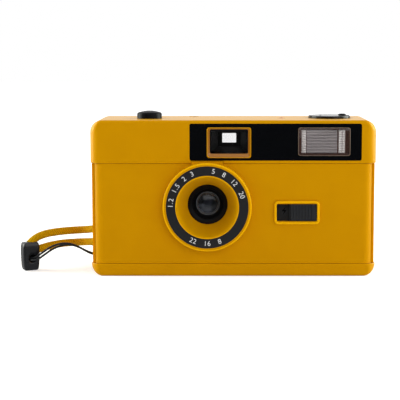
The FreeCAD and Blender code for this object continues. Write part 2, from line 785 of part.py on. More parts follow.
def lens_screw_place(angle):
    reach = flange_radius - 1.45
    return (lens_x + reach * math.cos(math.radians(angle)), lens_z + reach * math.sin(math.radians(angle)))


def front_element():
    disc = rod_y(lens_x, lens_z, glass_y, glass_y + glass_thickness, glass_radius)
    bulge = 16.0
    front = Part.makeSphere(bulge, Vector(lens_x, glass_y + bulge - 0.35, lens_z))
    front = front.common(rod_y(lens_x, lens_z, glass_y - 1, glass_y + 1, glass_view_radius - 0.1))
    return fuse(disc, front)


def rear_element():
    y0 = glass_y + glass_thickness
    disc = rod_y(lens_x, lens_z, y0, barrel_end, glass_radius)
    dish = Part.makeSphere(rear_dish_radius,
                           Vector(lens_x, y0 + rear_dish_depth - rear_dish_radius, lens_z))
    return disc.cut(dish)


def aperture_plate():
    plate = rod_y(lens_x, lens_z, barrel_end, barrel_end + aperture_thickness, glass_radius + 2.0)
    return plate.cut(rod_y(lens_x, lens_z, barrel_end - 1, barrel_end + 1, aperture_hole_radius))


def shutter_plate():
    plate = centred_block(lens_x, lens_z, shutter_plate_width, shutter_plate_height, shutter_y,
                          blade_room_y)
    plate = rounded(plate, "y", 2.0)
    spacer_pads = []
    for x_side in (-1, 1):
        for z_side in (-1, 1):
            x = lens_x + x_side * (shutter_plate_width / 2 - 1.6)
            z = lens_z + z_side * (shutter_plate_height / 2 - 1.6)
            spacer_pads.append(rod_y(x, z, blade_room_y - 0.1, mount_y, 1.4))
    pin = rod_y(blade_x, blade_z, blade_room_y - 0.1, mount_y - 0.05, 0.8)
    collar = rod_y(lens_x, lens_z, barrel_end, shutter_y + 0.1, flange_radius)
    collar = collar.cut(rod_y(lens_x, lens_z, barrel_end - 1, shutter_y + 1, glass_radius + 2.05))
    shape = fuse(plate, pin, collar, *spacer_pads)
    shape = shape.cut(rod_y(lens_x, lens_z, shutter_y - 0.01, blade_room_y + 1, shutter_hole_radius))
    for angle in lens_screw_angles:
        x, z = lens_screw_place(angle)
        shape = shape.cut(rod_y(x, z, barrel_end - 1, blade_room_y + 1, lens_screw_radius))
    return shape


def shutter_blade():
    y0 = blade_room_y + (blade_room - blade_thickness) / 2
    blade = hull_plate([(blade_x, blade_z), (lens_x, lens_z)], [2.2, blade_cover_radius], y0,
                       y0 + blade_thickness)
    return blade.cut(rod_y(blade_x, blade_z, y0 - 1, y0 + 1, 0.8 + running))


def blade_spring():
    y0 = blade_room_y + 0.02
    coil = rod_y(blade_x, blade_z, y0, y0 + 0.25, 1.7)
    return coil.cut(rod_y(blade_x, blade_z, y0 - 1, y0 + 1, 1.1))


def release_lever():
    y0 = lever_y
    arm = hull_plate([(button_x, lever_tip_z - 0.8), (lever_x, lever_z + 1.3)], [0.8, 1.2], y0, y0 + 1.6)
    tail = hull_plate([(lever_x, lever_z), (lens_x - 6.5, lens_z + 12.6)], [2.4, 1.2], y0, y0 + 1.6)
    return fuse(arm, tail).cut(rod_y(lever_x, lever_z, y0 - 1, y0 + 3, 1.2 + running))


def lens_screws():
    screws = []
    for angle in lens_screw_angles:
        x, z = lens_screw_place(angle)
        shank = rod_y(x, z, barrel_end - flange_thickness - 0.05, blade_room_y - 0.05,
                      lens_screw_radius - 0.02)
        head = rod_y(x, z, barrel_end - flange_thickness - 0.9, barrel_end - flange_thickness, 1.25)
        slot = centred_block(x, z, 2.0, 0.4, barrel_end - flange_thickness - 1.0,
                             barrel_end - flange_thickness - 0.55)
        screws.append(fuse(shank, head).cut(slot))
    return Part.makeCompound(screws)


# Controls
def shutter_button():
    base = body_height - wall - 1.4
    cap = rod(button_x, button_y, body_height - wall + 0.1 - 0.0, body_height + button_rise, button_radius)
    cap = cap.makeFillet(0.5, [e for e in cap.Edges if e.BoundBox.ZMin > body_height + button_rise - 0.01])
    dome_radius = (button_radius ** 2 + button_dome ** 2) / (2 * button_dome)
    dome = Part.makeSphere(dome_radius, Vector(button_x, button_y, body_height + button_rise + button_dome
                                               - dome_radius))
    dome = dome.common(rod(button_x, button_y, body_height + button_rise - 0.2,
                           body_height + button_rise + 2, button_radius - 0.5))
    flange = rod(button_x, button_y, base, body_height - wall - 0.05, button_radius + 0.9)
    waist = rod(button_x, button_y, base, body_height - wall + 0.3, button_radius)
    stem = rod(button_x, button_y, lever_tip_z + 0.1, base + 0.1, button_stem_radius)
    return fuse(cap, dome, flange, waist, stem)


def button_guide():
    """Plate under the button that guides its stem and carries its spring, on top of the chassis post."""
    plate = block(button_x - 4.5, post_right, button_y - 3.2, button_y + 3.2, guide_z, guide_z + 1.0)
    seat = block(lever_x - 3.0, post_right, button_y, mount_y + post_thickness, guide_z, guide_z + 1.0)
    return fuse(plate,
                seat).cut(rod(button_x, button_y, guide_z - 1, guide_z + 2,
                              button_stem_radius + running))


def button_spring():
    z0 = guide_z + 1.0
    return tube(button_x, button_y, z0, body_height - wall - 1.4, button_stem_radius + 1.3,
                button_stem_radius + 0.6)


def advance_wheel():
    wheel = rod(spool_x, spool_y, wheel_z, wheel_z + wheel_thickness, wheel_radius)
    wheel = wheel.makeFillet(0.4, [e for e in wheel.Edges if e.BoundBox.ZLength < 0.01])
    groove = rod(spool_x + wheel_radius + 0.25, spool_y, wheel_z - 1, wheel_z + wheel_thickness + 1, 0.5)
    grooves = []
    for index in range(wheel_grooves):
        tool = groove.copy()
        tool.rotate(Vector(spool_x, spool_y, 0), Vector(0, 0, 1), index * 360.0 / wheel_grooves)
        grooves.append(tool)
    wheel = wheel.cut(Part.makeCompound(grooves))
    recess = tube(spool_x, spool_y, wheel_z + wheel_thickness - 1.6, wheel_z + wheel_thickness + 1,
                  wheel_radius - 2.2, 4.2)
    wheel = wheel.cut(recess)
    socket = rod(spool_x, spool_y, wheel_z - 1, wheel_z + wheel_thickness - 0.9, shaft_radius + 0.02)
    return wheel.cut(socket)


def take_up_spool():
    z0 = chamber_floor + free
    z1 = deck_z - free
    core = rod(spool_x, spool_y, z0, z1, spool_core_radius)
    low = rod(spool_x, spool_y, z0, z0 + 1.0, spool_flange_radius)
    high = rod(spool_x, spool_y, z1 - 1.0, z1, spool_flange_radius)
    neck = rod(spool_x, spool_y, z1 - 0.1, wheel_z, 3.2)
    stub = rod(spool_x, spool_y, wheel_z - 0.1, wheel_z + wheel_thickness - 0.9, shaft_radius)
    pivot = rod(spool_x, spool_y, wall + 0.3, z0 + 0.1, shaft_radius)
    slot = block(spool_x - spool_core_radius - 1, spool_x + spool_core_radius + 1, spool_y - 0.5,
                 spool_y + 0.5,
                 lens_z - 13.0, lens_z + 13.0)
    return fuse(core, low, high, neck, stub, pivot).cut(slot)


def advance_pawl():
    """Leaf that lets the wheel turn one way only, screwed to the deck."""
    x0 = spool_x + wheel_radius + free
    top = wheel_z + wheel_thickness - 0.4
    blade = block(x0, x0 + 0.5, mount_y + 0.9, spool_y + 2.6, deck_top + 0.5, top)
    foot = block(x0, x0 + 1.4, mount_y + 0.1, mount_y + 1.0, deck_top, top)
    return fuse(blade, foot)


def sprocket():
    z0 = film_top - 4.8
    drum = rod(sprocket_x, sprocket_y, z0, z0 + sprocket_height, sprocket_radius)
    teeth = []
    tooth_z = film_top - 3.41
    for index in range(sprocket_teeth):
        tooth = block(sprocket_x + sprocket_radius - 0.4, sprocket_x + sprocket_radius + tooth_height,
                      sprocket_y - tooth_width / 2, sprocket_y + tooth_width / 2,
                      tooth_z - tooth_depth / 2, tooth_z + tooth_depth / 2)
        tooth = tooth.makeChamfer(0.4, edges_along(tooth, "z", lambda box: box.XMin > sprocket_x
                                                   + sprocket_radius + 0.5))
        tooth.rotate(Vector(sprocket_x, sprocket_y, 0), Vector(0, 0, 1),
                     (index + 0.5) * 360.0 / sprocket_teeth)
        teeth.append(tooth)
    shaft = rod(sprocket_x, sprocket_y, shaft_low, cam_z, shaft_radius)
    stub = rod(sprocket_x, sprocket_y, cam_z - 0.1, cam_z + cam_thickness, shaft_radius * 0.7)
    return fuse(drum, shaft, stub, *teeth)


def sprocket_cam():
    disc = rod(sprocket_x, sprocket_y, cam_z, cam_z + cam_thickness, cam_radius)
    finger = block(sprocket_x, sprocket_x + cam_radius + 0.45, sprocket_y - 0.35, sprocket_y + 0.35, cam_z,
                   cam_z + cam_thickness)
    finger.rotate(Vector(sprocket_x, sprocket_y, 0), Vector(0, 0, 1), 90)
    cam = fuse(disc, finger)
    return cam.cut(rod(sprocket_x, sprocket_y, cam_z - 1, cam_z + 4, shaft_radius * 0.7 + 0.01))


def counter_dial():
    top = dial_z
    disc = rod(counter_x, counter_y, top, top + 1.0, counter_radius)
    hub = rod(counter_x, counter_y, deck_top + 0.3, top + 0.1, 2.4)
    gear_radius = math.hypot(counter_x - sprocket_x, counter_y - sprocket_y) - cam_radius - 0.45 - 0.1
    gear = rod(counter_x, counter_y, cam_z, cam_z + cam_thickness, gear_radius)
    gaps = []
    for index in range(counter_steps):
        gap = rod(counter_x + gear_radius + 0.05, counter_y, cam_z - 1, cam_z + 3, 0.24)
        gap.rotate(Vector(counter_x, counter_y, 0), Vector(0, 0, 1), index * 360.0 / counter_steps)
        gaps.append(gap)
    gear = gear.cut(Part.makeCompound(gaps))
    shape = fuse(disc, hub, gear)
    return shape.cut(rod(counter_x, counter_y, deck_top - 1, top - 0.5, dial_post_radius + running))


def counter_window():
    lens = rod(counter_window_x, counter_window_y, body_height - wall, body_height - 0.35,
               counter_window_radius - 0.02)
    flange = rod(counter_window_x, counter_window_y, body_height - wall - 0.6, body_height - wall,
                 counter_window_radius + 0.7)
    return fuse(lens, flange)


def rewind_shaft():
    z0 = chamber_top - 3.6
    shaft = rod(crank_x, crank_y, z0, body_height - disc_sink, shaft_r)
    slot = block(crank_x - 0.6, crank_x + 0.6, crank_y - 5, crank_y + 5, z0 - 1, z0 + 3.2)
    collar = rod(crank_x, crank_y, bush_z0 - 0.8, bush_z0 - running, shaft_r + 0.8)
    key = block(crank_x - 0.9, crank_x + 0.9, crank_y - 1.2, crank_y + 1.2, body_height - disc_sink - 0.1,
                body_height - disc_sink + 0.6)
    return fuse(shaft, collar, key).cut(slot)


def rewind_bush():
    bush = tube(crank_x, crank_y, bush_z0, body_height - disc_sink - slide_gap * 2, bush_radius,
                shaft_r + running)
    return bush


def rewind_disc():
    z0 = body_height - disc_sink
    z1 = body_height + disc_rise
    disc = rod(crank_x, crank_y, z0, z1, disc_radius)
    disc = disc.makeFillet(0.35, [e for e in disc.Edges if e.BoundBox.ZMin > z1 - 0.01])
    channel = block(crank_x + lever_hinge_offset - 1.2, crank_x + disc_radius + 1,
                    crank_y - lever_width / 2 - slide_gap, crank_y + lever_width / 2 + slide_gap,
                    lever_z0 - slide_gap, z1 + 1)
    key = block(crank_x - 0.92, crank_x + 0.92, crank_y - 1.22, crank_y + 1.22, z0 - 1, z0 + 0.62)
    pin = Part.makeCylinder(0.35, lever_width + 1.6, Vector(crank_x + lever_hinge_offset,
                                                             crank_y - lever_width / 2 - 0.8,
                                                             lever_axis_z), Vector(0, 1, 0))
    return fuse(cut(disc, channel, key), pin)


def crank_lever():
    x0 = crank_x + lever_hinge_offset
    plate = block(x0, x0 + lever_reach + 2.6, crank_y - lever_width / 2, crank_y + lever_width / 2,
                  lever_z0, lever_z0 + lever_thickness)
    eye = Part.makeCylinder(lever_thickness / 2, lever_width,
                            Vector(x0, crank_y - lever_width / 2, lever_axis_z),
                            Vector(0, 1, 0))
    plate = rounded(plate, "z", 1.8, lambda box: box.XMin > x0 + 1)
    lever = fuse(plate, eye)
    pin_start = Vector(x0, crank_y - lever_width / 2 - 0.5, lever_axis_z)
    lever = lever.cut(Part.makeCylinder(0.35 + running, lever_width + 1, pin_start, Vector(0, 1, 0)))
    post = rod(x0 + lever_reach + 1.0 + knob_shift, crank_y, lever_z0 + lever_thickness - 0.1,
               lever_z0 + lever_thickness + knob_rise - 0.3, 0.6)
    return fuse(lever, post)


def crank_knob():
    x = crank_x + lever_hinge_offset + lever_reach + 1.0 + knob_shift
    z0 = lever_z0 + lever_thickness + running
    knob = rod(x, crank_y, z0, z0 + knob_rise - running, knob_radius)
    knob = knob.makeFillet(0.3, [e for e in knob.Edges if e.BoundBox.ZMin > z0 + 0.3])
    return knob.cut(rod(x, crank_y, z0 - 1, z0 + knob_rise - 0.3, 0.6 + running))


def rewind_release():
    button = rod(sprocket_x, sprocket_y, 0.15, wall + 0.6, release_radius)
    flange = rod(sprocket_x, sprocket_y, wall + 0.05, wall + 0.6, release_radius + 0.8)
    pin = rod(sprocket_x, sprocket_y, wall + 0.5, shaft_low - release_travel - 0.15, 1.2)
    return fuse(button, flange, pin)


def door_latch():
    """Grooved slide in the edge of the back door."""
    x1 = half_width - wall
    tab = block(x1 - slide_gap - 0.1, half_width, latch_y - 1.5, latch_y + 1.5, latch_z - 5.5 + slide_gap,
                latch_z + 5.5 - slide_gap)
    plate = block(x1 - slide_gap - 0.9, x1 - slide_gap, latch_y - 2.2, latch_y + 2.2, latch_z - 5.5,
                  latch_z + 5.5)
    grooves = []
    for index in range(4):
        z = latch_z - 3.0 + index * 2.0
        grooves.append(block(half_width - 0.4, half_width + 1, latch_y - 2, latch_y + 2, z - 0.35,
                             z + 0.35))
    return cut(fuse(tab, plate), *grooves)


def latch_spring():
    x1 = half_width - wall
    return block(x1 - slide_gap - 0.8, x1 - slide_gap, latch_y - 1.0, latch_y + 1.0, latch_z + 5.5,
                 latch_z + 9.5)


def pressure_plate():
    side = gate_width / 2 + 8.0
    plate = block(lens_x - side, lens_x + side, plate_y, plate_y + plate_thickness,
                  lens_z - gate_height / 2 - 2.6, lens_z + gate_height / 2 + 0.4)
    plate = rounded(plate, "y", 2.0)
    for z in (lens_z - 8.0, lens_z + 8.0):
        plate = plate.cut(rod_y(lens_x, z, plate_y - 1, plate_y + 5, stud_radius + 0.1))
    return plate


def pressure_spring():
    leaf = block(lens_x - 9.0, lens_x + 9.0, plate_y + plate_thickness + 0.05, rear_y - door_thickness,
                 lens_z - 2.5, lens_z + 2.5)
    inner = block(lens_x - 8.6, lens_x + 8.6, plate_y + plate_thickness + 0.3,
                  rear_y - door_thickness - 0.25,
                  lens_z - 3, lens_z + 3)
    return leaf.cut(inner)


def light_seals():
    strips = []
    for z0 in (door_bottom + 0.6, door_top - 2.0):
        strips.append(block(hinge_x + 8.0, half_width - 12.0, rear_y - door_thickness - 0.5,
                            rear_y - door_thickness,
                            z0, z0 + 1.4))
    return Part.makeCompound(strips)


# Chassis
def round_front_room(x, y, radius, y_back, z0, z1):
    """Upright block with a half-round front and straight sides to the back."""
    left = Vector(x - radius, y, z0)
    right = Vector(x + radius, y, z0)
    back_right = Vector(x + radius, y_back, z0)
    back_left = Vector(x - radius, y_back, z0)
    edges = [
        Part.Arc(left, Vector(x, y - radius, z0), right).toShape(),
        Part.makeLine(right, back_right),
        Part.makeLine(back_right, back_left),
        Part.makeLine(back_left, left),
    ]
    return Part.Face(Part.Wire(edges)).extrude(Vector(0, 0, z1 - z0))


def chassis():
    shell = cartridge_radius + chassis_wall
    cartridge = round_front_room(crank_x, crank_y, shell, chamber_back, wall, chamber_top)
    cartridge = cartridge.cut(block(crank_x - 40, crank_x, film_y - 3.4, rear_y + 5, chamber_floor, 80))
    take_up = tube(spool_x, spool_y, wall, deck_top, spool_room_radius + chassis_wall, spool_room_radius)
    take_up = take_up.cut(block(spool_x - 40, spool_x + 40, spool_y + 6.0, rear_y + 5, 0, 80))
    take_up = take_up.cut(block(spool_x, spool_x + 40, spool_y - 1.5, rear_y + 5, chamber_floor, deck_z))
    floor = block(spool_x, crank_x, mount_y, chamber_back, wall, chamber_floor)
    floor_left = rod(spool_x, spool_y, wall, chamber_floor, spool_room_radius + chassis_wall)
    floor_right = round_front_room(crank_x, crank_y, shell, chamber_back, wall, chamber_floor)
    floor = fuse(floor, floor_left, floor_right)
    floor = floor.common(block(-80, 80, -60, chamber_back, 0, 80))
    deck = block(spool_x, crank_x - shell + 1.0, mount_y, chamber_back, deck_z, deck_top)
    deck_left = rod(spool_x, spool_y, deck_z, deck_top, spool_room_radius + chassis_wall)
    deck = fuse(deck, deck_left).common(block(-80, 80, -60, chamber_back, 0, 80))
    mount = block(lens_x - 19.0, lens_x + 17.0, mount_y, mount_y + 1.4, wall, deck_top)
    gate_y = film_y - rail_height
    gate = centred_block(lens_x, lens_z, gate_width + 14.0, film_width + 2.4, gate_y - gate_thickness,
                         gate_y)
    outer = frustum(lens_x, lens_z, mount_y, 14.0, 12.5, gate_y, gate_width + 3.2, gate_height + 3.2)
    rails = []
    for side in (-1, 1):
        z = lens_z + side * (gate_height / 2 + 2.4)
        rails.append(centred_block(lens_x, z, gate_width + 14.0, 1.8, gate_y - 0.1, film_y - 0.05))
    shaft_boss = rod(sprocket_x, sprocket_y, wall, film_top - 5.2, shaft_radius + 1.1)
    roof = rod(crank_x, crank_y, chamber_top, chamber_top + 1.0, shell)
    roof = roof.common(block(0, 80, roof_front, chamber_back, 0, 80))
    post = block(lever_x - 3.0, post_right, mount_y, mount_y + post_thickness, deck_z, guide_z)
    pin = rod_y(lever_x, lever_z, lever_y - 0.4, mount_y + 0.1, 1.2)
    pin_base = rod_y(lever_x, lever_z, lever_y + 1.6 + free / 2, mount_y + 0.1, 2.2)
    dial_post = rod(counter_x, counter_y, deck_z, dial_z - 0.6, dial_post_radius)
    dial_foot = rod(counter_x, counter_y, deck_z, deck_top + 0.25, 2.2)
    link = block(lens_x + gate_width / 2 + 1.0, crank_x - shell + 1.2, gate_y - gate_thickness, gate_y,
                 wall, deck_top)
    shape = fuse(floor, deck, mount, gate, outer, cartridge, take_up, shaft_boss, roof, post, pin, pin_base,
                 dial_post, dial_foot, link, *rails)
    light_path = frustum(lens_x, lens_z, mount_y - 0.01, 8.6, 7.4, film_y + 0.5, gate_width + 0.4,
                         gate_height + 0.3)
    sprocket_room = rod(sprocket_x, sprocket_y, film_top - 5.2, deck_z,
                        sprocket_radius + tooth_height + 0.4)
    tools = [
        light_path,
        sprocket_room,
        rod(sprocket_x, sprocket_y, wall - 1, deck_top + 1, shaft_radius + running),
        rod(sprocket_x, sprocket_y, wall - 1, wall + 0.8 + release_travel, release_radius + 1.0),
        rod(spool_x, spool_y, wall - 1, chamber_floor + 1, shaft_radius + running),
        rod(spool_x, spool_y, deck_z - 1, deck_top + 1, 3.2 + running),
        rod(crank_x, crank_y, wall - 1, chamber_floor + 1, 6.0),
        rod(crank_x, crank_y, chamber_top - 1, chamber_top + 2, shaft_r + 0.3),
        rod(spool_x, spool_y, chamber_floor, deck_z, spool_room_radius),
        round_front_room(crank_x, crank_y, cartridge_radius, rear_y, chamber_floor, chamber_top),
        block(crank_x - shell - 5, crank_x, film_y - 3.4, rear_y, chamber_floor, chamber_top),
    ]
    shape = cut(shape, *tools)
    shape = shape.common(cavity(wall, body_height, bottom_corner_radius, False))
    return shape.removeSplitter()


# Power
def battery():
    can = rod_x(battery_y, battery_z, battery_x - battery_length / 2, battery_x + battery_length / 2 - 0.9,
                battery_radius)
    can = can.makeFillet(0.5, [e for e in can.Edges if e.BoundBox.XLength < 0.01])
    nub = rod_x(battery_y, battery_z, battery_x + battery_length / 2 - 1.0,
                battery_x + battery_length / 2, 1.9)
    return fuse(can, nub)


def battery_holder():
    """Trough over the battery with an end wall behind each contact, on the chassis front."""
    x0 = battery_x - battery_length / 2 - contact_room
    x1 = battery_x + battery_length / 2 + 1.0
    y1 = battery_y + battery_radius + 1.4
    z1 = battery_z + battery_radius + 0.5
    outer = block(x0 - 1.2, x1 + 1.2, front_face + wall + 0.1, y1, wall, z1 + 1.0)
    inner = block(x0, x1, front_face + wall - 1, y1 - 1.2 + 0.3, wall - 1, z1)
    rear_feet = []
    for x in (x0 + 4.0, x1 - 16.0):
        rear_feet.append(block(x, x + 6.0, y1 - 0.1, mount_y, z1 - 3.0, z1))
    return fuse(cut(outer, inner), *rear_feet)


def battery_contacts():
    x0 = battery_x - battery_length / 2
    x1 = battery_x + battery_length / 2
    coil = rod_x(battery_y, battery_z, x0 - contact_room + 0.4, x0, 3.0)
    coil = coil.cut(rod_x(battery_y, battery_z, x0 - contact_room, x0 + 1, 2.4))
    back = block(x0 - contact_room, x0 - contact_room + 0.4, battery_y - 4.0, battery_y + 4.0,
                 battery_z - 4.0,
                 battery_z + 4.0)
    plus = block(x1, x1 + 1.0, battery_y - 4.0, battery_y + 4.0, battery_z - 4.0, battery_z + 4.0)
    return Part.makeCompound([fuse(coil, back), plus])


def case_screws():
    screws = []
    for x, y in screw_places:
        head = rod(x, y, 0.25, head_height + 0.2, head_radius)
        shank = rod(x, y, head_height, wall + 6.0, screw_radius - 0.08)
        cross = block(x - 1.1, x + 1.1, y - 0.25, y + 0.25, 0, 0.7)
        cross = cross.fuse(block(x - 0.25, x + 0.25, y - 1.1, y + 1.1, 0, 0.7))
        screws.append(fuse(head, shank).cut(cross))
    return Part.makeCompound(screws)


def door_hinge_pin():
    return rod(hinge_x, hinge_y, wall + 0.1, top_z - seam_gap - 1.1, hinge_pin_radius)


# Wrist strap
def cord_path(points, label):
    """Straight runs joined by tangent arcs; prints the arc radii."""
    edges = []
    radii = []
    start = points[0]
    for index in range(1, len(points) - 1):
        before, corner, after = points[index - 1], points[index], points[index + 1]
        run_in = corner - before
        run_out = after - corner
        turn = run_in.getAngle(run_out)
        shorter = min(run_in.Length, run_out.Length)
        radius = 0.45 * shorter / math.tan(turn / 2)
        radii.append(radius)
        back = 0.45 * shorter
        direction_in = Vector(run_in).normalize()
        direction_out = Vector(run_out).normalize()
        arc_start = corner - direction_in * back
        arc_end = corner + direction_out * back
        bisector = (direction_out - direction_in).normalize()
        arc_middle = corner + bisector * (radius / math.cos(turn / 2) - radius)
        edges.append(Part.LineSegment(start, arc_start).toShape())
        edges.append(Part.Arc(arc_start, arc_middle, arc_end).toShape())
        start = arc_end
    edges.append(Part.LineSegment(start, points[-1]).toShape())
    print(label, "radii", [round(radius, 1) for radius in radii])
    return Part.Wire(edges)


def cord(points, diameter, label):
    vectors = [Vector(*point) for point in points]
    path = cord_path(vectors, label)
    direction = (vectors[1] - vectors[0]).normalize()
    circle = Part.Wire(Part.Circle(vectors[0], direction, diameter / 2).toShape())
    shape = path.makePipeShell([circle], True, False)
    expected = math.pi * diameter ** 2 / 4 * path.Length
    print(label, "length", round(path.Length, 1), "volume ratio", round(shape.Volume / expected, 4))
    return shape


def strap_clamp():
    x0 = clamp_x - clamp_width / 2
    shape = block(x0, x0 + clamp_width, clamp_y - clamp_depth / 2, clamp_y + clamp_depth / 2, 0.0,
                  clamp_height)
    shape = rounded(shape, "y", 2.6, lambda box: box.ZMax < 1)
    shape = rounded(shape, "y", 0.8, lambda box: box.ZMin > clamp_height - 1)
    hole = rod_y(hole_x, hole_z, clamp_y - clamp_depth, clamp_y, 1.0)
    return shape.cut(hole)


# Cord routes, chosen by hand: from the lug or the clamp outward
front_strand_route = [
    (-55.7, 3.6, 5.8), (-56.1, 2.3, 5.9), (-58.4, 1.4, 6.1), (-61.2, 0.8, 7.4), (-64.6, -0.4, 9.8),
    (-69.2, -2.2, 11.6), (-74.6, -3.9, 10.6), (-79.0, -4.9, 7.6), (-81.6, -5.0, 5.6), (-83.6, -3.4, 5.1),
]
rear_strand_route = [
    (-55.7, 3.6, 5.8), (-56.1, 4.9, 5.7), (-58.3, 5.5, 5.7), (-61.0, 4.6, 6.6), (-64.4, 2.9, 8.9),
    (-69.0, 0.9, 10.6), (-74.2, -2.2, 9.4), (-78.2, -4.8, 6.7), (-80.8, -6.2, 4.9), (-83.3, -5.6, 4.7),
    (-83.8, -3.4, 4.9),
]
loop_route = [
    (-84.4, -1.4, 11.0), (-82.6, 0.2, 13.0), (-78.2, 3.6, 14.6), (-72.4, 8.2, 15.0), (-66.8, 13.6, 14.4),
    (-62.8, 20.4, 12.8), (-61.4, 28.0, 10.2), (-61.2, 35.6, 6.8), (-60.6, 42.6, 3.6), (-57.0, 49.6, 2.0),
    (-50.4, 54.8, 1.8), (-40.0, 58.0, 1.8), (-26.0, 60.4, 1.8), (-10.0, 61.8, 1.8), (6.0, 61.8, 1.8),
    (20.0, 60.4, 1.8), (31.6, 55.6, 1.8), (37.0, 46.0, 1.8), (33.2, 35.2, 1.8), (20.6, 30.2, 1.8),
    (4.0, 31.4, 1.8), (-13.0, 34.6, 1.8), (-28.0, 37.0, 1.8), (-41.0, 38.0, 1.8), (-50.4, 37.2, 1.9),
    (-58.2, 33.4, 2.6), (-61.2, 25.2, 5.8), (-63.4, 18.8, 8.6), (-67.6, 13.2, 9.9), (-73.0, 8.0, 10.1),
    (-78.4, 2.8, 9.8), (-81.6, -1.0, 8.8),
]


def build():
    parts = {
        "body_shell": body_shell(),
        "front_cover": front_cover(),
        "top_cover": top_cover(),
        "back_door": back_door(),
        "door_hinge_pin": door_hinge_pin(),
        "door_latch": door_latch(),
        "latch_spring": latch_spring(),
        "pressure_plate": pressure_plate(),
        "pressure_spring": pressure_spring(),
        "light_seals": light_seals(),
        "chassis": chassis(),
        "window_panel": window_panel(),
        "lens_ring_label": lens_ring_label(),
        "finder_front_lens": finder_front_lens(),
        "finder_tunnel": finder_tunnel(),
        "finder_rear_lens": finder_rear_lens(),
        "eyepiece": eyepiece(),
        "flash_window": flash_window(),
        "flash_reflector": flash_reflector(),
        "flash_tube": flash_tube(),
        "flash_board": flash_board(),
        "flash_capacitor": flash_capacitor(),
        "flash_transformer": flash_transformer(),
        "flash_switch": flash_switch(),
        "switch_plate": switch_plate(),
        "ready_lamp": ready_lamp(),
        "lens_barrel": lens_barrel(),
        "front_element": front_element(),
        "rear_element": rear_element(),
        "aperture_plate": aperture_plate(),
        "shutter_plate": shutter_plate(),
        "shutter_blade": shutter_blade(),
        "blade_spring": blade_spring(),
        "lens_screws": lens_screws(),
        "release_lever": release_lever(),
        "shutter_button": shutter_button(),
        "button_guide": button_guide(),
        "button_spring": button_spring(),
        "advance_wheel": advance_wheel(),
        "take_up_spool": take_up_spool(),
        "advance_pawl": advance_pawl(),
        "sprocket": sprocket(),
        "sprocket_cam": sprocket_cam(),
        "counter_dial": counter_dial(),
        "counter_window": counter_window(),
        "rewind_shaft": rewind_shaft(),
        "rewind_bush": rewind_bush(),
        "rewind_disc": rewind_disc(),
        "crank_lever": crank_lever(),
        "crank_knob": crank_knob(),
        "rewind_release": rewind_release(),
        "battery": battery(),
        "battery_holder": battery_holder(),
        "battery_contacts": battery_contacts(),
        "battery_door": battery_door(),
        "case_screws": case_screws(),
        "strap_clamp": strap_clamp(),
        "strap_strand_front": cord(front_strand_route, thin_cord, "front strand"),
        "strap_strand_rear": cord(rear_strand_route, thin_cord, "rear strand"),
        "strap_loop": cord(loop_route, strap_cord, "wrist loop"),
    }
    return parts


def save(parts):
    os.makedirs("parts", exist_ok=True)
    for name, shape in parts.items():
        if not shape.isValid():
            print("not valid:", name)
        shape.exportStep("parts/" + name + ".step")
    print(len(parts), "nodes")


save(build())
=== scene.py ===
import json
import math

import bmesh
import bpy
from mathutils import Matrix, Vector


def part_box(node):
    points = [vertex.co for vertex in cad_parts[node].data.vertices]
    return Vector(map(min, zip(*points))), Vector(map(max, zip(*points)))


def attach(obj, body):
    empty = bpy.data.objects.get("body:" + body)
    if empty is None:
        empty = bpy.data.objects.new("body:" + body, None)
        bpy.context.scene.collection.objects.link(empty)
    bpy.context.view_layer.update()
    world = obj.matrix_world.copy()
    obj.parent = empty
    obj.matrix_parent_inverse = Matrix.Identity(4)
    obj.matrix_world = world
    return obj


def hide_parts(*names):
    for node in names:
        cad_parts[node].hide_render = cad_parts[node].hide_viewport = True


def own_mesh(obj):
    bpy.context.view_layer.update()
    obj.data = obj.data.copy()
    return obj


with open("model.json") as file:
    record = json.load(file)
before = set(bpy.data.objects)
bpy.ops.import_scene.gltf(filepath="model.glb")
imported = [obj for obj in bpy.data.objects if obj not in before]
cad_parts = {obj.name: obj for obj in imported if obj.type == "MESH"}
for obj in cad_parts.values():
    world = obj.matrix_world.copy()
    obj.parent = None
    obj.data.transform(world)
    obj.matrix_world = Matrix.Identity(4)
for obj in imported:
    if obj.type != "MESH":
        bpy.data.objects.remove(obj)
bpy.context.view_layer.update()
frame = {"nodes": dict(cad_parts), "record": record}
nodes = frame["nodes"]
mm = 0.001
collection = bpy.context.scene.collection
print("frame loaded:", len(nodes), "nodes")


# Camera, at the photograph's low angle in front of the camera body
cameraSettings = {
    "aim": (0.0, -15.575, 31.5),   # mm, middle of the front face
    "distance": 500.0,            # mm from that point
    "elevation": 6.8,             # degrees
    "lens": 112.0, "sensor": 36.0,
    "shift": (-0.083, -0.0035),
    "clipStart": 0.01,            # m
}


def addCamera(settings):
    data = bpy.data.cameras.new("viewCamera")
    data.lens = settings["lens"]
    data.sensor_width = settings["sensor"]
    data.shift_x, data.shift_y = settings["shift"]
    data.clip_start = settings["clipStart"]
    tilt = math.radians(settings["elevation"])
    away = Vector((0.0, -math.cos(tilt), math.sin(tilt))) * settings["distance"]
    camera = bpy.data.objects.new("viewCamera", data)
    camera.location = (Vector(settings["aim"]) + away) * mm
    camera.rotation_euler = (math.radians(90.0) - tilt, 0.0, 0.0)
    collection.objects.link(camera)
    bpy.context.scene.camera = camera


addCamera(cameraSettings)


# Small helpers
def linearColour(hexText):
    channels = []
    for place in (0, 2, 4):
        value = int(hexText[place:place + 2], 16) / 255.0
        channels.append(value / 12.92 if value <= 0.04045 else ((value + 0.055) / 1.055) ** 2.4)
    return (*channels, 1.0)


def addNode(tree, kind, settings=None, links=None):
    node = tree.nodes.new("ShaderNode" + kind)
    for name, value in (settings or {}).items():
        if isinstance(name, int) or name in node.inputs:
            node.inputs[name].default_value = value
        else:
            setattr(node, name, value)
    for name, source in (links or {}).items():
        tree.links.new(source, node.inputs[name])
    return node


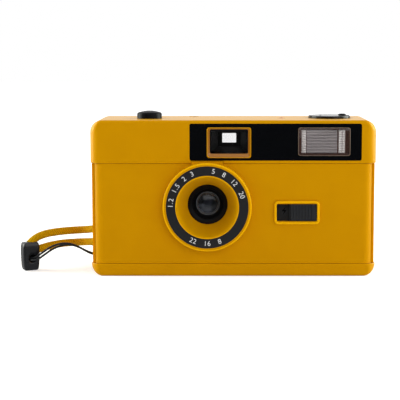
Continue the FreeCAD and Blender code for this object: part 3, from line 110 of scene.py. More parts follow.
def clearedTree(owner):
    owner.use_nodes = True
    owner.node_tree.nodes.clear()
    return owner.node_tree


def startMaterial(name, settings):
    material = bpy.data.materials.new(name)
    tree = clearedTree(material)
    shader = addNode(tree, "BsdfPrincipled", settings)
    addNode(tree, "OutputMaterial", links={"Surface": shader.outputs["BSDF"]})
    return material, tree, shader


def plainMesh(name, shape):
    mesh = bpy.data.meshes.new(name)
    shape.to_mesh(mesh)
    shape.free()
    return mesh


def smoothMesh(name, shape, sharpAngle=None):
    mesh = plainMesh(name, shape)
    mesh.shade_smooth()
    if sharpAngle is not None:
        mesh.set_sharp_from_angle(angle=math.radians(sharpAngle))
    return mesh


def frontCentre(node):
    low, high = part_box(node)
    return Vector(((low.x + high.x) / 2.0, low.y, (low.z + high.z) / 2.0))


def objectFromMesh(name, mesh, body, material):
    piece = bpy.data.objects.new(name, mesh)
    collection.objects.link(piece)
    mesh.materials.clear()
    mesh.materials.append(material)
    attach(piece, body)
    return piece


# Moulded plastics: spark-eroded or polished tool steel leaves a fine even grain, and the pigment a slow
# change of tone; grain and tone sizes in mm, relief as a share of the grain
absPlastic = {
    "ior": 1.53, "grainDetail": 3.0, "toneDetail": 5.0,
    "plainTint": "FFFFFF", "sheenTint": "FFE800",
}
mouldedFinishes = {
    "yellowAbsMoulded": {"colour": "D19200", "shade": "C98A00", "roughness": 0.30, "grainMm": 0.28,
                         "relief": 0.05, "toneMm": 9.0, "specular": 0.36, "tint": "FFC840", "sheen": 0.06},
    # lighter copy of the body yellow: painted highlight on the ring bead, funnel edge and switch rim
    "yellowAbsPaintedHighlight": {"colour": "F2B400", "shade": "EAAA00", "roughness": 0.25, "grainMm": 0.28,
                        "relief": 0.02, "toneMm": 9.0, "specular": 0.3, "tint": "FFD060"},
    # lighter copy of the body yellow: painted light on the skin inside the funnel
    "yellowAbsPaintedLight": {"colour": "DEA500", "shade": "D69A00", "roughness": 0.25, "grainMm": 0.28,
                           "relief": 0.02, "toneMm": 9.0, "specular": 0.3, "tint": "FFD060"},
    # darker copy of the body yellow: painted shade on the side strips
    "yellowAbsShaded": {"colour": "DC9000", "shade": "D28400", "roughness": 0.35, "grainMm": 0.28,
                        "relief": 0.03, "toneMm": 9.0, "specular": 0.05, "tint": "FFD060"},
    # darker, glossy copy of the body yellow: painted shade on the finder's sloping walls
    "yellowAbsGlossyPaintedShade": {"colour": "A86C00", "shade": "945800", "roughness": 0.16, "grainMm": 1.2,
                          "relief": 0.01, "toneMm": 9.0, "specular": 0.6},
    "blackAbsMatt": {"colour": "121316", "shade": "0C0D0F", "roughness": 0.52, "grainMm": 0.30,
                     "relief": 0.12, "toneMm": 6.0, "specular": 0.4},
    "blackAbsPolished": {"colour": "07080B", "shade": "050609", "roughness": 0.12, "grainMm": 1.6,
                         "relief": 0.008, "toneMm": 12.0, "specular": 0.22},
    "ringBlackPrinted": {"colour": "1C1C20", "shade": "17171B", "roughness": 0.38, "grainMm": 0.35,
                         "relief": 0.05, "toneMm": 5.0, "specular": 0.4},
    "whiteDialPrinted": {"colour": "DCDBD4", "shade": "CFCEC6", "roughness": 0.5, "grainMm": 0.3,
                         "relief": 0.05, "toneMm": 4.0, "specular": 0.4},
    "orangeLampMoulded": {"colour": "C96A14", "shade": "B65C0E", "roughness": 0.2, "grainMm": 1.0,
                          "relief": 0.01, "toneMm": 3.0, "specular": 0.5},
    "blackAbsGlossy": {"colour": "0E0F11", "shade": "0A0B0D", "roughness": 0.16, "grainMm": 0.6,
                       "relief": 0.01, "toneMm": 4.0, "specular": 0.3},
    "slateAbsSatin": {"colour": "191D24", "shade": "13161C", "roughness": 0.34, "grainMm": 0.4,
                      "relief": 0.03, "toneMm": 4.0, "specular": 0.8},
    "blackAbsFine": {"colour": "0E0F12", "shade": "0A0B0D", "roughness": 0.3, "grainMm": 0.4,
                     "relief": 0.02, "toneMm": 4.0, "specular": 0.06},
    "blackNylonBead": {"colour": "131418", "shade": "0D0E11", "roughness": 0.27, "grainMm": 0.5,
                       "relief": 0.02, "toneMm": 4.0, "specular": 0.4},
    "greyPaintedRing": {"colour": "8A8F96", "shade": "767A80", "roughness": 0.35, "grainMm": 0.3,
                        "relief": 0.02, "toneMm": 2.0, "specular": 0.5},
    # pale tan: painted highlight where light catches the clear edge of the flash window
    "tanPaintedEdgeHighlight": {"colour": "8A776A", "shade": "66564C", "roughness": 0.25, "grainMm": 0.8,
                       "relief": 0.01, "toneMm": 1.5, "specular": 0.5},
    "blackAbsRibbedDull": {"colour": "060607", "shade": "040405", "roughness": 0.7, "grainMm": 0.5,
                           "relief": 0.05, "toneMm": 4.0, "specular": 0.15},
    "brownTintedTray": {"colour": "5A3A2F", "shade": "4A2C22", "roughness": 0.35, "grainMm": 0.5,
                        "relief": 0.04, "toneMm": 3.0, "specular": 0.4},
    "greenSolderMask": {"colour": "1B5A33", "shade": "16492A", "roughness": 0.35, "grainMm": 0.5,
                        "relief": 0.03, "toneMm": 3.0, "specular": 0.5},
    "whiteInk": {"colour": "E4E5E8", "shade": "D6D7DA", "roughness": 0.55, "grainMm": 0.2,
                 "relief": 0.03, "toneMm": 1.0, "specular": 0.4},
}


def mouldedPlastic(name, finish):
    material, tree, shader = startMaterial(name, {
        "Roughness": finish["roughness"],
        "IOR": absPlastic["ior"],
        "Specular IOR Level": finish["specular"],
        "Specular Tint": linearColour(finish.get("tint", absPlastic["plainTint"])),
        "Sheen Weight": finish.get("sheen", 0.0),
        "Sheen Tint": linearColour(absPlastic["sheenTint"]),
    })
    place = addNode(tree, "TexCoord").outputs["Object"]
    grain = addNode(tree, "TexNoise", {"Scale": 1.0 / (finish["grainMm"] * mm),
                                       "Detail": absPlastic["grainDetail"]}, {"Vector": place})
    bump = addNode(tree, "Bump", {"Strength": 1.0, "Distance": finish["relief"] * finish["grainMm"] * mm},
                   {"Height": grain.outputs["Fac"]})
    tone = addNode(tree, "TexNoise", {"Scale": 1.0 / (finish["toneMm"] * mm),
                                      "Detail": absPlastic["toneDetail"]}, {"Vector": place})
    colour = addNode(tree, "MixRGB", {"Color1": linearColour(finish["shade"]),
                                      "Color2": linearColour(finish["colour"])},
                     {"Fac": tone.outputs["Fac"]})
    tree.links.new(colour.outputs["Color"], shader.inputs["Base Color"])
    tree.links.new(bump.outputs["Normal"], shader.inputs["Normal"])
    return material


# Metals: drawn wire and rolled strip show fine scratches, which change the gloss by a share of it
metalScratch = {"spread": 0.25, "reliefMm": 0.01, "detail": 4.0}
metalFinishes = {
    "springSteelWire": {"colour": "A8A8AC", "roughness": 0.32, "scratchMm": 0.2},
    "zincPlatedSteel": {"colour": "8E9094", "roughness": 0.38, "scratchMm": 0.3},
    "vacuumPlatedReflector": {"colour": "D8D8DA", "roughness": 0.16, "scratchMm": 0.8},
    "sleevedAluminium": {"colour": "2A2B30", "roughness": 0.4, "scratchMm": 0.5},
    "steelCellJacket": {"colour": "7C7E84", "roughness": 0.35, "scratchMm": 0.6},
}


def metal(name, finish):
    material, tree, shader = startMaterial(name, {
        "Metallic": 1.0, "Base Color": linearColour(finish["colour"]),
    })
    place = addNode(tree, "TexCoord").outputs["Object"]
    scratch = addNode(tree, "TexNoise", {"Scale": 1.0 / (finish["scratchMm"] * mm),
                                         "Detail": metalScratch["detail"]}, {"Vector": place})
    rough = addNode(tree, "MapRange", {"To Min": finish["roughness"] * (1.0 - metalScratch["spread"]),
                                       "To Max": finish["roughness"] * (1.0 + metalScratch["spread"])},
                    {"Value": scratch.outputs["Fac"]})
    bump = addNode(tree, "Bump", {"Strength": 1.0, "Distance": metalScratch["reliefMm"] * mm},
                   {"Height": scratch.outputs["Fac"]})
    tree.links.new(rough.outputs["Result"], shader.inputs["Roughness"])
    tree.links.new(bump.outputs["Normal"], shader.inputs["Normal"])
    return material


# Clear parts: moulded acrylic and coated lens glass, with the faint waves of a moulded or polished face
clearWaveRelief = 0.003   # mm
clearFinishes = {
    "clearAcrylic": {"colour": "FFFFFF", "roughness": 0.02, "ior": 1.49, "waveMm": 5.0},
    "coatedLensGlass": {"colour": "CDD2DC", "roughness": 0.09, "ior": 1.6, "waveMm": 12.0},
    "borosilicateTube": {"colour": "FFFFFF", "roughness": 0.03, "ior": 1.47, "waveMm": 3.0},
}


def clearPart(name, finish):
    material, tree, shader = startMaterial(name, {
        "Base Color": linearColour(finish["colour"]),
        "Roughness": finish["roughness"],
        "IOR": finish["ior"],
        "Transmission Weight": 1.0,
    })
    place = addNode(tree, "TexCoord").outputs["Object"]
    wave = addNode(tree, "TexNoise", {"Scale": 1.0 / (finish["waveMm"] * mm)}, {"Vector": place})
    bump = addNode(tree, "Bump", {"Strength": 1.0, "Distance": clearWaveRelief * mm},
                   {"Height": wave.outputs["Fac"]})
    tree.links.new(bump.outputs["Normal"], shader.inputs["Normal"])
    return material


# Thin flat pane: lets the light straight through, mirrors a little of it
paneFinish = {"colour": "F6F4F4", "mirrored": 0.05, "roughness": 0.02, "waveMm": 8.0, "reliefMm": 0.01}


def thinPane(name, finish):
    material = bpy.data.materials.new(name)
    tree = clearedTree(material)
    place = addNode(tree, "TexCoord").outputs["Object"]
    wave = addNode(tree, "TexNoise", {"Scale": 1.0 / (finish["waveMm"] * mm)}, {"Vector": place})
    bump = addNode(tree, "Bump", {"Strength": 1.0, "Distance": finish["reliefMm"] * mm},
                   {"Height": wave.outputs["Fac"]})
    clear = addNode(tree, "BsdfTransparent", {"Color": linearColour(finish["colour"])})
    gloss = addNode(tree, "BsdfAnisotropic", {"Roughness": finish["roughness"]},
                    {"Normal": bump.outputs["Normal"]})
    both = addNode(tree, "MixShader", {0: finish["mirrored"]},
                   {1: clear.outputs["BSDF"], 2: gloss.outputs["BSDF"]})
    addNode(tree, "OutputMaterial", links={"Surface": both.outputs["Shader"]})
    return material


# Mirror-backed prisms of the flash: clear acrylic over plated plastic, seen as silvery grey ribs
prismGloss = {"coat": 0.6, "coatRoughness": 0.04, "spread": 0.4, "reliefMm": 0.02}
prismFinishes = {
    "prismaticAcrylic": {"colour": "ABA8AA", "metallic": 0.3, "roughness": 0.2, "streakMm": 0.35},
    "mirrorBackedPrism": {"colour": "FFFFFF", "metallic": 0.1, "roughness": 0.1, "streakMm": 0.25},
}


def prismAcrylic(name, finish):
    material, tree, shader = startMaterial(name, {
        "Base Color": linearColour(finish["colour"]), "Metallic": finish["metallic"],
        "Coat Weight": prismGloss["coat"], "Coat Roughness": prismGloss["coatRoughness"],
    })
    place = addNode(tree, "TexCoord").outputs["Object"]
    streak = addNode(tree, "TexNoise", {"Scale": 1.0 / (finish["streakMm"] * mm)}, {"Vector": place})
    rough = addNode(tree, "MapRange", {"To Min": finish["roughness"] * (1.0 - prismGloss["spread"]),
                                       "To Max": finish["roughness"] * (1.0 + prismGloss["spread"])},
                    {"Value": streak.outputs["Fac"]})
    bump = addNode(tree, "Bump", {"Strength": 1.0, "Distance": prismGloss["reliefMm"] * mm},
                   {"Height": streak.outputs["Fac"]})
    tree.links.new(rough.outputs["Result"], shader.inputs["Roughness"])
    tree.links.new(bump.outputs["Normal"], shader.inputs["Normal"])
    return material


# Foam seal: soft flocked strip that swallows light
foamFinish = {"colour": "101011", "cellMm": 0.35, "roughness": 0.95, "sheen": 0.3, "reliefMm": 0.1}


def flockedFoam(name, finish):
    material, tree, shader = startMaterial(name, {
        "Base Color": linearColour(finish["colour"]), "Roughness": finish["roughness"],
        "Sheen Weight": finish["sheen"],
    })
    place = addNode(tree, "TexCoord").outputs["Object"]
    cells = addNode(tree, "TexVoronoi", {"Scale": 1.0 / (finish["cellMm"] * mm)}, {"Vector": place})
    bump = addNode(tree, "Bump", {"Strength": 1.0, "Distance": finish["reliefMm"] * mm},
                   {"Height": cells.outputs["Distance"]})
    tree.links.new(bump.outputs["Normal"], shader.inputs["Normal"])
    return material


# Braided cords: crossing yarns, drawn along the cord's own UV map, with the colour darker where the yarns dip
# as painted shade
braidFinishes = {
    "nylonBraidYellow": {"colour": "E6B400", "shade": "9C7400", "roughness": 0.8, "specular": 0.08,
                         "reliefMm": 0.28},
    "nylonBraidBlack": {"colour": "15161A", "shade": "08090B", "roughness": 0.5, "specular": 0.3,
                        "reliefMm": 0.04},
}


def braidedNylon(name, finish, yarnsAround, crossings):
    material, tree, shader = startMaterial(name, {
        "Roughness": finish["roughness"], "Specular IOR Level": finish["specular"],
    })
    uv = addNode(tree, "UVMap", {"uv_map": "UVMap"})
    split = addNode(tree, "SeparateXYZ", links={"Vector": uv.outputs["UV"]})
    waves = []
    for axis, count in (("X", crossings), ("Y", float(yarnsAround))):
        angle = addNode(tree, "Math", {"operation": "MULTIPLY", 1: 2.0 * math.pi * count},
                        {0: split.outputs[axis]})
        wave = addNode(tree, "Math", {"operation": "SINE"}, {0: angle.outputs["Value"]})
        waves.append(wave.outputs["Value"])
    crossing = addNode(tree, "Math", {"operation": "MULTIPLY"}, {0: waves[0], 1: waves[1]})
    height = addNode(tree, "MapRange", {"From Min": -1.0, "From Max": 1.0},
                     {"Value": crossing.outputs["Value"]})
    # colour follows the yarns' height: painted shade in the hollows between the crossing yarns
    colour = addNode(tree, "MixRGB", {"Color1": linearColour(finish["shade"]),
                                      "Color2": linearColour(finish["colour"])},
                     {"Fac": height.outputs["Result"]})
    bump = addNode(tree, "Bump", {"Strength": 1.0, "Distance": finish["reliefMm"] * mm},
                   {"Height": height.outputs["Result"]})
    tree.links.new(colour.outputs["Color"], shader.inputs["Base Color"])
    tree.links.new(bump.outputs["Normal"], shader.inputs["Normal"])
    return material


materials = {}
for makeMaterial, finishes in ((mouldedPlastic, mouldedFinishes), (metal, metalFinishes),
                               (clearPart, clearFinishes), (prismAcrylic, prismFinishes)):
    for finishName, finishValues in finishes.items():
        materials[finishName] = makeMaterial(finishName, finishValues)
materials["flockedFoam"] = flockedFoam("flockedFoam", foamFinish)
materials["smokedPane"] = thinPane("smokedPane", paneFinish)
print("materials made:", len(materials))


# Wrist strap: routes and sizes in metres; the gap is from one crossing of the yarns to the next
strapLoop = {
    "route": [
        (-0.0844, -0.0014, 0.0110), (-0.0828, 0.0002, 0.0130), (-0.0786, 0.0036, 0.0145),
        (-0.0730, 0.0082, 0.0148), (-0.0676, 0.0136, 0.0145), (-0.0630, 0.0204, 0.0138),
        (-0.0613, 0.0278, 0.0130), (-0.0610, 0.0352, 0.0116), (-0.0608, 0.0424, 0.0080),
        (-0.0600, 0.0490, 0.0036), (-0.0562, 0.0546, 0.0019), (-0.0480, 0.0580, 0.0018),
        (-0.0376, 0.0596, 0.0018), (-0.0250, 0.0608, 0.0018), (-0.0100, 0.0618, 0.0018),
        (0.0060, 0.0618, 0.0018), (0.0186, 0.0602, 0.0018), (0.0284, 0.0554, 0.0018),
        (0.0330, 0.0460, 0.0018), (0.0296, 0.0356, 0.0018), (0.0184, 0.0306, 0.0018),
        (0.0040, 0.0314, 0.0018), (-0.0130, 0.0346, 0.0018), (-0.0280, 0.0376, 0.0018),
        (-0.0410, 0.0402, 0.0018), (-0.0506, 0.0420, 0.0019), (-0.0576, 0.0414, 0.0030),
        (-0.0609, 0.0356, 0.0055), (-0.0616, 0.0286, 0.0072), (-0.0634, 0.0214, 0.0083),
        (-0.0678, 0.0142, 0.0092), (-0.0730, 0.0084, 0.0096),
        (-0.0784, 0.0030, 0.0092), (-0.0816, -0.0010, 0.0084),
    ],
    "diameter": 0.0032, "length": 0.3136, "yarnsAround": 8, "crossingGap": 0.0012,
    "roundSteps": 24, "lineSteps": 24,
}
frontStrand = {
    "route": [
        (-0.0557, 0.0036, 0.0058), (-0.0561, 0.0023, 0.0059), (-0.0584, 0.0014, 0.0061),
        (-0.0612, 0.0008, 0.0074), (-0.0646, -0.0004, 0.0098), (-0.0692, -0.0022, 0.0116),
        (-0.0746, -0.0039, 0.0106), (-0.0790, -0.0049, 0.0076), (-0.0816, -0.0050, 0.0056),
        (-0.0836, -0.0034, 0.0051),
    ],
    "diameter": 0.00085, "length": 0.0332, "yarnsAround": 4, "crossingGap": 0.0006,
    "roundSteps": 12, "lineSteps": 16,
}
rearStrand = {
    "route": [
        (-0.0557, 0.0036, 0.0058), (-0.0561, 0.0049, 0.0057), (-0.0583, 0.0055, 0.0057),
        (-0.0610, 0.0046, 0.0066), (-0.0644, 0.0029, 0.0089), (-0.0690, 0.0009, 0.0106),
        (-0.0742, -0.0022, 0.0094), (-0.0782, -0.0048, 0.0067), (-0.0808, -0.0062, 0.0049),
        (-0.0833, -0.0056, 0.0047), (-0.0838, -0.0034, 0.0049),
    ],
    "diameter": 0.00085, "length": 0.0356, "yarnsAround": 4, "crossingGap": 0.0006,
    "roundSteps": 12, "lineSteps": 16,
}


def cordMesh(name, cord):
    curve = bpy.data.curves.new(name + "Line", "CURVE")
    curve.dimensions = "3D"
    spline = curve.splines.new("NURBS")
    spline.points.add(len(cord["route"]) - 1)
    for point, place in zip(spline.points, cord["route"]):
        point.co = (*place, 1.0)
    spline.order_u = 3
    spline.use_endpoint_u = True
    spline.resolution_u = cord["lineSteps"]
    carrier = bpy.data.objects.new(name + "Line", curve)
    collection.objects.link(carrier)
    bpy.context.view_layer.update()
    line = bpy.data.meshes.new_from_object(carrier)
    path = [tuple(v.co) for v in line.vertices]
    curve.bevel_depth = cord["diameter"] / 2.0
    curve.bevel_resolution = cord["roundSteps"] // 2 - 2
    curve.use_fill_caps = True
    bpy.context.view_layer.update()
    mesh = bpy.data.meshes.new_from_object(carrier)
    bpy.data.objects.remove(carrier)
    mesh.shade_smooth()
    return mesh, path


def makeCord(name, cord, node, finish):
    mesh, path = cordMesh(name, cord)
    material = braidedNylon(name + "Braid", braidFinishes[finish], cord["yarnsAround"],
                            cord["length"] / cord["crossingGap"])
    piece = objectFromMesh(name, mesh, "root", material)
    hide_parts(node)


makeCord("strapLoop", strapLoop, "strap_loop", "nylonBraidYellow")
makeCord("strandFront", frontStrand, "strap_strand_front", "nylonBraidBlack")
makeCord("strandRear", rearStrand, "strap_strand_rear", "nylonBraidBlack")
print("wrist strap made")


# Finish of each CAD node, by its material slot, and of the nodes that differ from the rest of their slot
slotFinish = {
    "yellow_abs": "yellowAbsMoulded", "black_abs": "blackAbsMatt", "black_gloss": "blackAbsPolished",
    "clear_acrylic": "clearAcrylic", "ribbed_acrylic": "clearAcrylic", "lens_glass": "coatedLensGlass",
    "plated_reflector": "vacuumPlatedReflector", "spring_steel": "springSteelWire",
    "screw_steel": "zincPlatedSteel", "board_green": "greenSolderMask", "can_aluminium": "sleevedAluminium",
    "lamp_orange": "orangeLampMoulded", "seal_foam": "flockedFoam", "dial_white": "whiteDialPrinted",
    "cell_jacket": "steelCellJacket", "strap_yellow": "yellowAbsMoulded", "strap_black": "blackAbsMatt",
}
nodeFinish = {
    "lens_ring_label": "ringBlackPrinted", "flash_tube": "borosilicateTube",
    "rewind_disc": "blackAbsGlossy", "crank_lever": "blackAbsGlossy",
    "flash_switch": "slateAbsSatin", "finder_tunnel": "blackAbsRibbedDull",
}
for part in frame["record"]["subparts"]:
    finishName = nodeFinish.get(part["node"], slotFinish[part["material_slot"]])
    mesh = nodes[part["node"]].data
    mesh.materials.clear()
    mesh.materials.append(materials[finishName])
print("node finishes set")


# Printed marks on the lens ring: plain numbers in three arcs, as on a setting dial
ringMarks = {
    "capHeight": 1.95, "radius": 14.62, "lift": 0.02, "thickness": 0.03,   # mm
    "capShare": 0.7,       # height of a digit as a share of the font's size
    "curveSteps": 4,
    "arcs": [
        {"text": "1.2  1.5  2  3", "from": 178.0, "to": 114.0, "upright": True},
        {"text": "5  8  12  20", "from": 80.0, "to": 17.0, "upright": True},
        {"text": "22  16  8", "from": 244.0, "to": 290.0, "upright": False},
    ],
}


def glyphMesh(letter, settings):
    curve = bpy.data.curves.new("glyph", "FONT")
    curve.body = letter
    curve.size = settings["capHeight"] * mm / settings["capShare"]
    curve.align_x = "CENTER"
    curve.align_y = "CENTER"
    curve.extrude = settings["thickness"] * mm / 2.0
    curve.resolution_u = settings["curveSteps"]
    carrier = bpy.data.objects.new("glyph", curve)
    collection.objects.link(carrier)
    bpy.context.view_layer.update()
    mesh = bpy.data.meshes.new_from_object(carrier)
    bpy.data.objects.remove(carrier)
    return mesh


def makeRingMarks(settings):
    centre = frontCentre("lens_ring_label")
    marks = bmesh.new()
    for arc in settings["arcs"]:
        steps = max(len(arc["text"]) - 1, 1)
        for index, letter in enumerate(arc["text"]):
            if letter == " ":
                continue
            angle = math.radians(arc["from"] + (arc["to"] - arc["from"]) * index / steps)
            turn = angle - math.pi / 2.0 if arc["upright"] else angle + math.pi / 2.0
            mesh = glyphMesh(letter, settings)
            spot = Vector((math.cos(angle), 0.0, math.sin(angle))) * settings["radius"] * mm
            spot.y = -settings["lift"] * mm
            stand = Matrix.Rotation(math.pi / 2.0, 4, "X")
            mesh.transform(Matrix.Translation(centre + spot) @ Matrix.Rotation(-turn, 4, "Y") @ stand)
            marks.from_mesh(mesh)
            bpy.data.meshes.remove(mesh)
    objectFromMesh("ringMarks", plainMesh("ringMarks", marks), "root", materials["whiteInk"])


makeRingMarks(ringMarks)
print("ring marks made")


# Bead of the strap: moulded clamp with a through hole, narrower at its rounded foot
clampBead = {
    "inner": 0.4,          # corners nearer the middle than this share of a side are moved out to the span
    "span": 0.30,          # and so keep the bead's own corners small
    "footWidth": 0.78,     # share of the full width
    "swell": 0.88,         # share of a half wave that the width follows from foot to top
    "depthFollow": 0.14,   # share of the depth that changes with the width
    "holeSize": 0.13, "holeAspect": 0.65, "holeDepth": 0.6, "holeReach": 0.2,   # shares of the bead's sides
    "holeShift": (0.5, -0.9),  # mm
    "turn": 26.0,          # degrees about the upright, shows the left side
    "rounding": 3,
}
facesFront = -0.9          # a face whose normal goes further to the front than this looks forward


def subdivided(piece, levels):
    finish = piece.modifiers.new("rounding", "SUBSURF")
    finish.levels = levels
    finish.render_levels = levels


def makeClamp(settings):
    low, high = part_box("strap_clamp")
    bead = bmesh.new()
    bmesh.ops.create_cube(bead, size=1.0)
    bmesh.ops.subdivide_edges(bead, edges=bead.edges[:], cuts=2, use_grid_fill=True)
    for vertex in bead.verts:
        for axis in (0, 2):
            if abs(vertex.co[axis]) < settings["inner"]:
                vertex.co[axis] = math.copysign(settings["span"], vertex.co[axis])
    mouth = [face for face in bead.faces if face.normal.y < facesFront
             and face.calc_center_median().xz.length < settings["holeSize"]]
    bmesh.ops.inset_individual(bead, faces=mouth, thickness=settings["span"] - settings["holeSize"])
    for vertex in mouth[0].verts:
        vertex.co.z *= settings["holeAspect"]
    floor = bmesh.ops.extrude_discrete_faces(bead, faces=mouth)["faces"]
    bmesh.ops.translate(bead, verts=floor[0].verts[:], vec=(0.0, settings["holeDepth"], 0.0))
    size = high - low
    for vertex in bead.verts:
        level = vertex.co.z + 0.5
        swell = math.sin(settings["swell"] * math.pi * level)
        width = settings["footWidth"] + (1.0 - settings["footWidth"]) * swell
        middle = max(abs(vertex.co.x), abs(vertex.co.z)) < settings["holeReach"]
        vertex.co.x *= size.x * width
        vertex.co.y *= size.y * (1.0 - settings["depthFollow"] * (1.0 - width))
        vertex.co.z *= size.z
        if middle:
            vertex.co.x += settings["holeShift"][0] * mm
            vertex.co.z += settings["holeShift"][1] * mm
    stand = Matrix.Translation((low + high) / 2.0) @ Matrix.Rotation(math.radians(settings["turn"]), 4, "Z")
    bmesh.ops.transform(bead, matrix=stand, verts=bead.verts)
    bmesh.ops.recalc_face_normals(bead, faces=bead.faces)
    piece = objectFromMesh("clampBead", smoothMesh("clampBead", bead), "root",
                           materials["blackNylonBead"])
    subdivided(piece, settings["rounding"])
    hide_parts("strap_clamp")


makeClamp(clampBead)
print("strap bead made")


# Lens front: turned outline of the barrel, radius and depth behind its front in mm
lensFront = {
    "flange": [(5.7, 9.2), (11.8, 9.2), (11.8, 7.6), (7.9, 7.6)],
    "rim": {"radius": 8.3, "front": -0.95, "round": 0.3, "steps": 6},
    "funnel": [(6.75, 0.12), (6.3, 0.22), (5.85, 0.95), (5.6, 0.95), (5.2, 1.5), (4.82, 3.0), (4.82, 3.25),
               (4.6, 3.25), (4.6, 4.2), (5.7, 4.24)],
    "rings": [(4.66, 0.09, 2.7), (4.2, 0.05, 2.95)],   # radius, half width, depth
    "spinSteps": 96, "sharpAngle": 32.0,
}
weldDistance = 1e-7    # m


def turned(places, centre, axis, steps, closed):
    shape = bmesh.new()
    corners = [shape.verts.new(centre + Vector(place) * mm) for place in places]
    following = corners[1:] + corners[:1] if closed else corners[1:]
    edges = [shape.edges.new(pair) for pair in zip(corners, following)]
    bmesh.ops.spin(shape, geom=corners + edges, cent=centre, axis=axis, angle=2.0 * math.pi, steps=steps,
                   use_merge=True)
    bmesh.ops.remove_doubles(shape, verts=shape.verts, dist=weldDistance)
    bmesh.ops.recalc_face_normals(shape, faces=shape.faces)
    return shape


def turnedRing(outline, centre, steps):
    return turned([(radius, depth, 0.0) for radius, depth in outline], centre, (0.0, 1.0, 0.0), steps, True)


def roundSection(radius, half, depth):
    turns = [math.pi / 4.0 * step for step in range(8)]
    return [(radius + half * math.cos(turn), depth + half * math.sin(turn)) for turn in turns]


def makeLensFront(settings):
    centre = frontCentre("lens_barrel")
    rim = settings["rim"]
    outline = list(settings["flange"])
    for step in range(rim["steps"] + 1):
        angle = math.pi / 2.0 * step / rim["steps"]
        outline.append((rim["radius"] - rim["round"] * (1.0 - math.cos(angle)),
                        rim["front"] + rim["round"] * (1.0 - math.sin(angle))))
    outline += settings["funnel"]
    shape = turnedRing(outline, centre, settings["spinSteps"])
    piece = objectFromMesh("lensFront", smoothMesh("lensFront", shape, settings["sharpAngle"]), "root",
                           materials["blackAbsFine"])
    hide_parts("lens_barrel")
    rings = bmesh.new()
    for radius, half, depth in settings["rings"]:
        shape = turnedRing(roundSection(radius, half, depth), centre, settings["spinSteps"])
        part = smoothMesh("ring", shape)
        rings.from_mesh(part)
        bpy.data.meshes.remove(part)
    objectFromMesh("lensRings", smoothMesh("lensRings", rings), "root",
                   materials["greyPaintedRing"])


makeLensFront(lensFront)
print("lens front made")


# Bead round the lens ring and edge between its label and the funnel, both in a lighter yellow as a painted
# highlight, and a thin skin over the funnel in a lighter yellow as painted light; radius and depth in mm
funnelTrim = {
    "bead": [(17.2, 0.03), (17.48, 0.03), (17.68, 0.11), (17.8, 0.3), (17.8, 0.6), (17.68, 0.85),
             (17.3, 0.85)],
    "edge": (12.56, 0.16, 0.02),   # radius, half width, depth
    "skin": [(12.19, 0.1), (7.95, 11.2), (7.87, 11.2), (12.11, 0.1)],
    "spinSteps": 96, "sharpAngle": 50.0,
}


def makeFunnelTrim(settings):
    for name, outline, finish in (("ringBead", settings["bead"], "yellowAbsPaintedHighlight"),
                                  ("funnelEdge", roundSection(*settings["edge"]), "yellowAbsPaintedHighlight"),
                                  ("funnelSkin", settings["skin"], "yellowAbsPaintedLight")):
        shape = turnedRing(outline, frontCentre("lens_ring_label"), settings["spinSteps"])
        objectFromMesh(name, smoothMesh(name, shape, settings["sharpAngle"]), "root",
                       materials[finish])


makeFunnelTrim(funnelTrim)
print("funnel trim made")


# Flash window: flat pane, horizontal ribs, and a strip of small prisms at each side
flashLens = {
    "paneThickness": 0.55, "paneBevel": 0.3, "corner": 0.8,                       # mm
    "trayInset": 0.06, "trayGap": 0.05, "trayFrame": 0.8, "traySunk": 0.7,        # mm
    "ribsBehind": 0.75, "trayBehind": 0.5, "prismsAhead": 0.25, "prismDepth": 0.6,   # mm
    "ribs": 8, "ribRadius": 0.52, "ribFlat": 0.65, "ribSegments": 20,             # shares of the pitch
    "across": (0.162, 0.75), "rise": (0.088, 0.915),   # ribs, shares of the window from its left and its foot
    "strips": [(0.062, 0.156), (0.775, 0.842), (0.845, 0.905)],   # prisms, shares from its left
    "prismRows": 10, "prismFoot": 0.7, "prismTip": 0.08,          # radii, shares of a prism's cell
    "sharpAngle": 32.0, "ribAngle": 40.0, "lipAngle": 50.0,
    # each line: inset at the sides, top and foot, corner radius, depth
    "lip": [(0.0, 0.0, 0.0, 1.1, 0.4), (0.0, 0.0, 0.0, 1.1, 0.05), (0.08, 0.08, 0.08, 1.05, -0.04),
            (0.16, 0.16, 0.16, 1.0, -0.04), (0.22, 0.22, 0.22, 0.95, 0.05), (0.22, 0.22, 0.22, 0.95, 0.4)],
}


cornerSteps = 6
bevelSteps = 3
samePlace = 1e-6    # m, places nearer than this are one


def roundedPlate(low, high, corner, bevel):
    plate = bmesh.new()
    bmesh.ops.create_cube(plate, size=1.0)
    bmesh.ops.scale(plate, verts=plate.verts, vec=high - low)
    bmesh.ops.translate(plate, verts=plate.verts, vec=(low + high) / 2.0)
    upright = [edge for edge in plate.edges if abs(edge.verts[0].co.y - edge.verts[1].co.y) > samePlace]
    bmesh.ops.bevel(plate, geom=upright, offset=corner * mm, segments=cornerSteps, affect="EDGES",
                    profile=0.5, material=-1)
    if bevel > 0.0:
        front = [edge for edge in plate.edges if all(abs(v.co.y - low.y) < samePlace for v in edge.verts)]
        bmesh.ops.bevel(plate, geom=front, offset=bevel * mm, segments=bevelSteps, affect="EDGES",
                        profile=0.5, material=-1)
    return plate


def roundedLoop(shape, left, right, foot, top, corner, depth):
    corners = ((right - corner, top - corner), (left + corner, top - corner),
               (left + corner, foot + corner), (right - corner, foot + corner))
    loop = []
    for quarter, (x, z) in enumerate(corners):
        for step in range(cornerSteps + 1):
            angle = math.radians(90.0 * (quarter + step / cornerSteps))
            loop.append(shape.verts.new((x + corner * math.cos(angle), depth, z + corner * math.sin(angle))))
    return loop


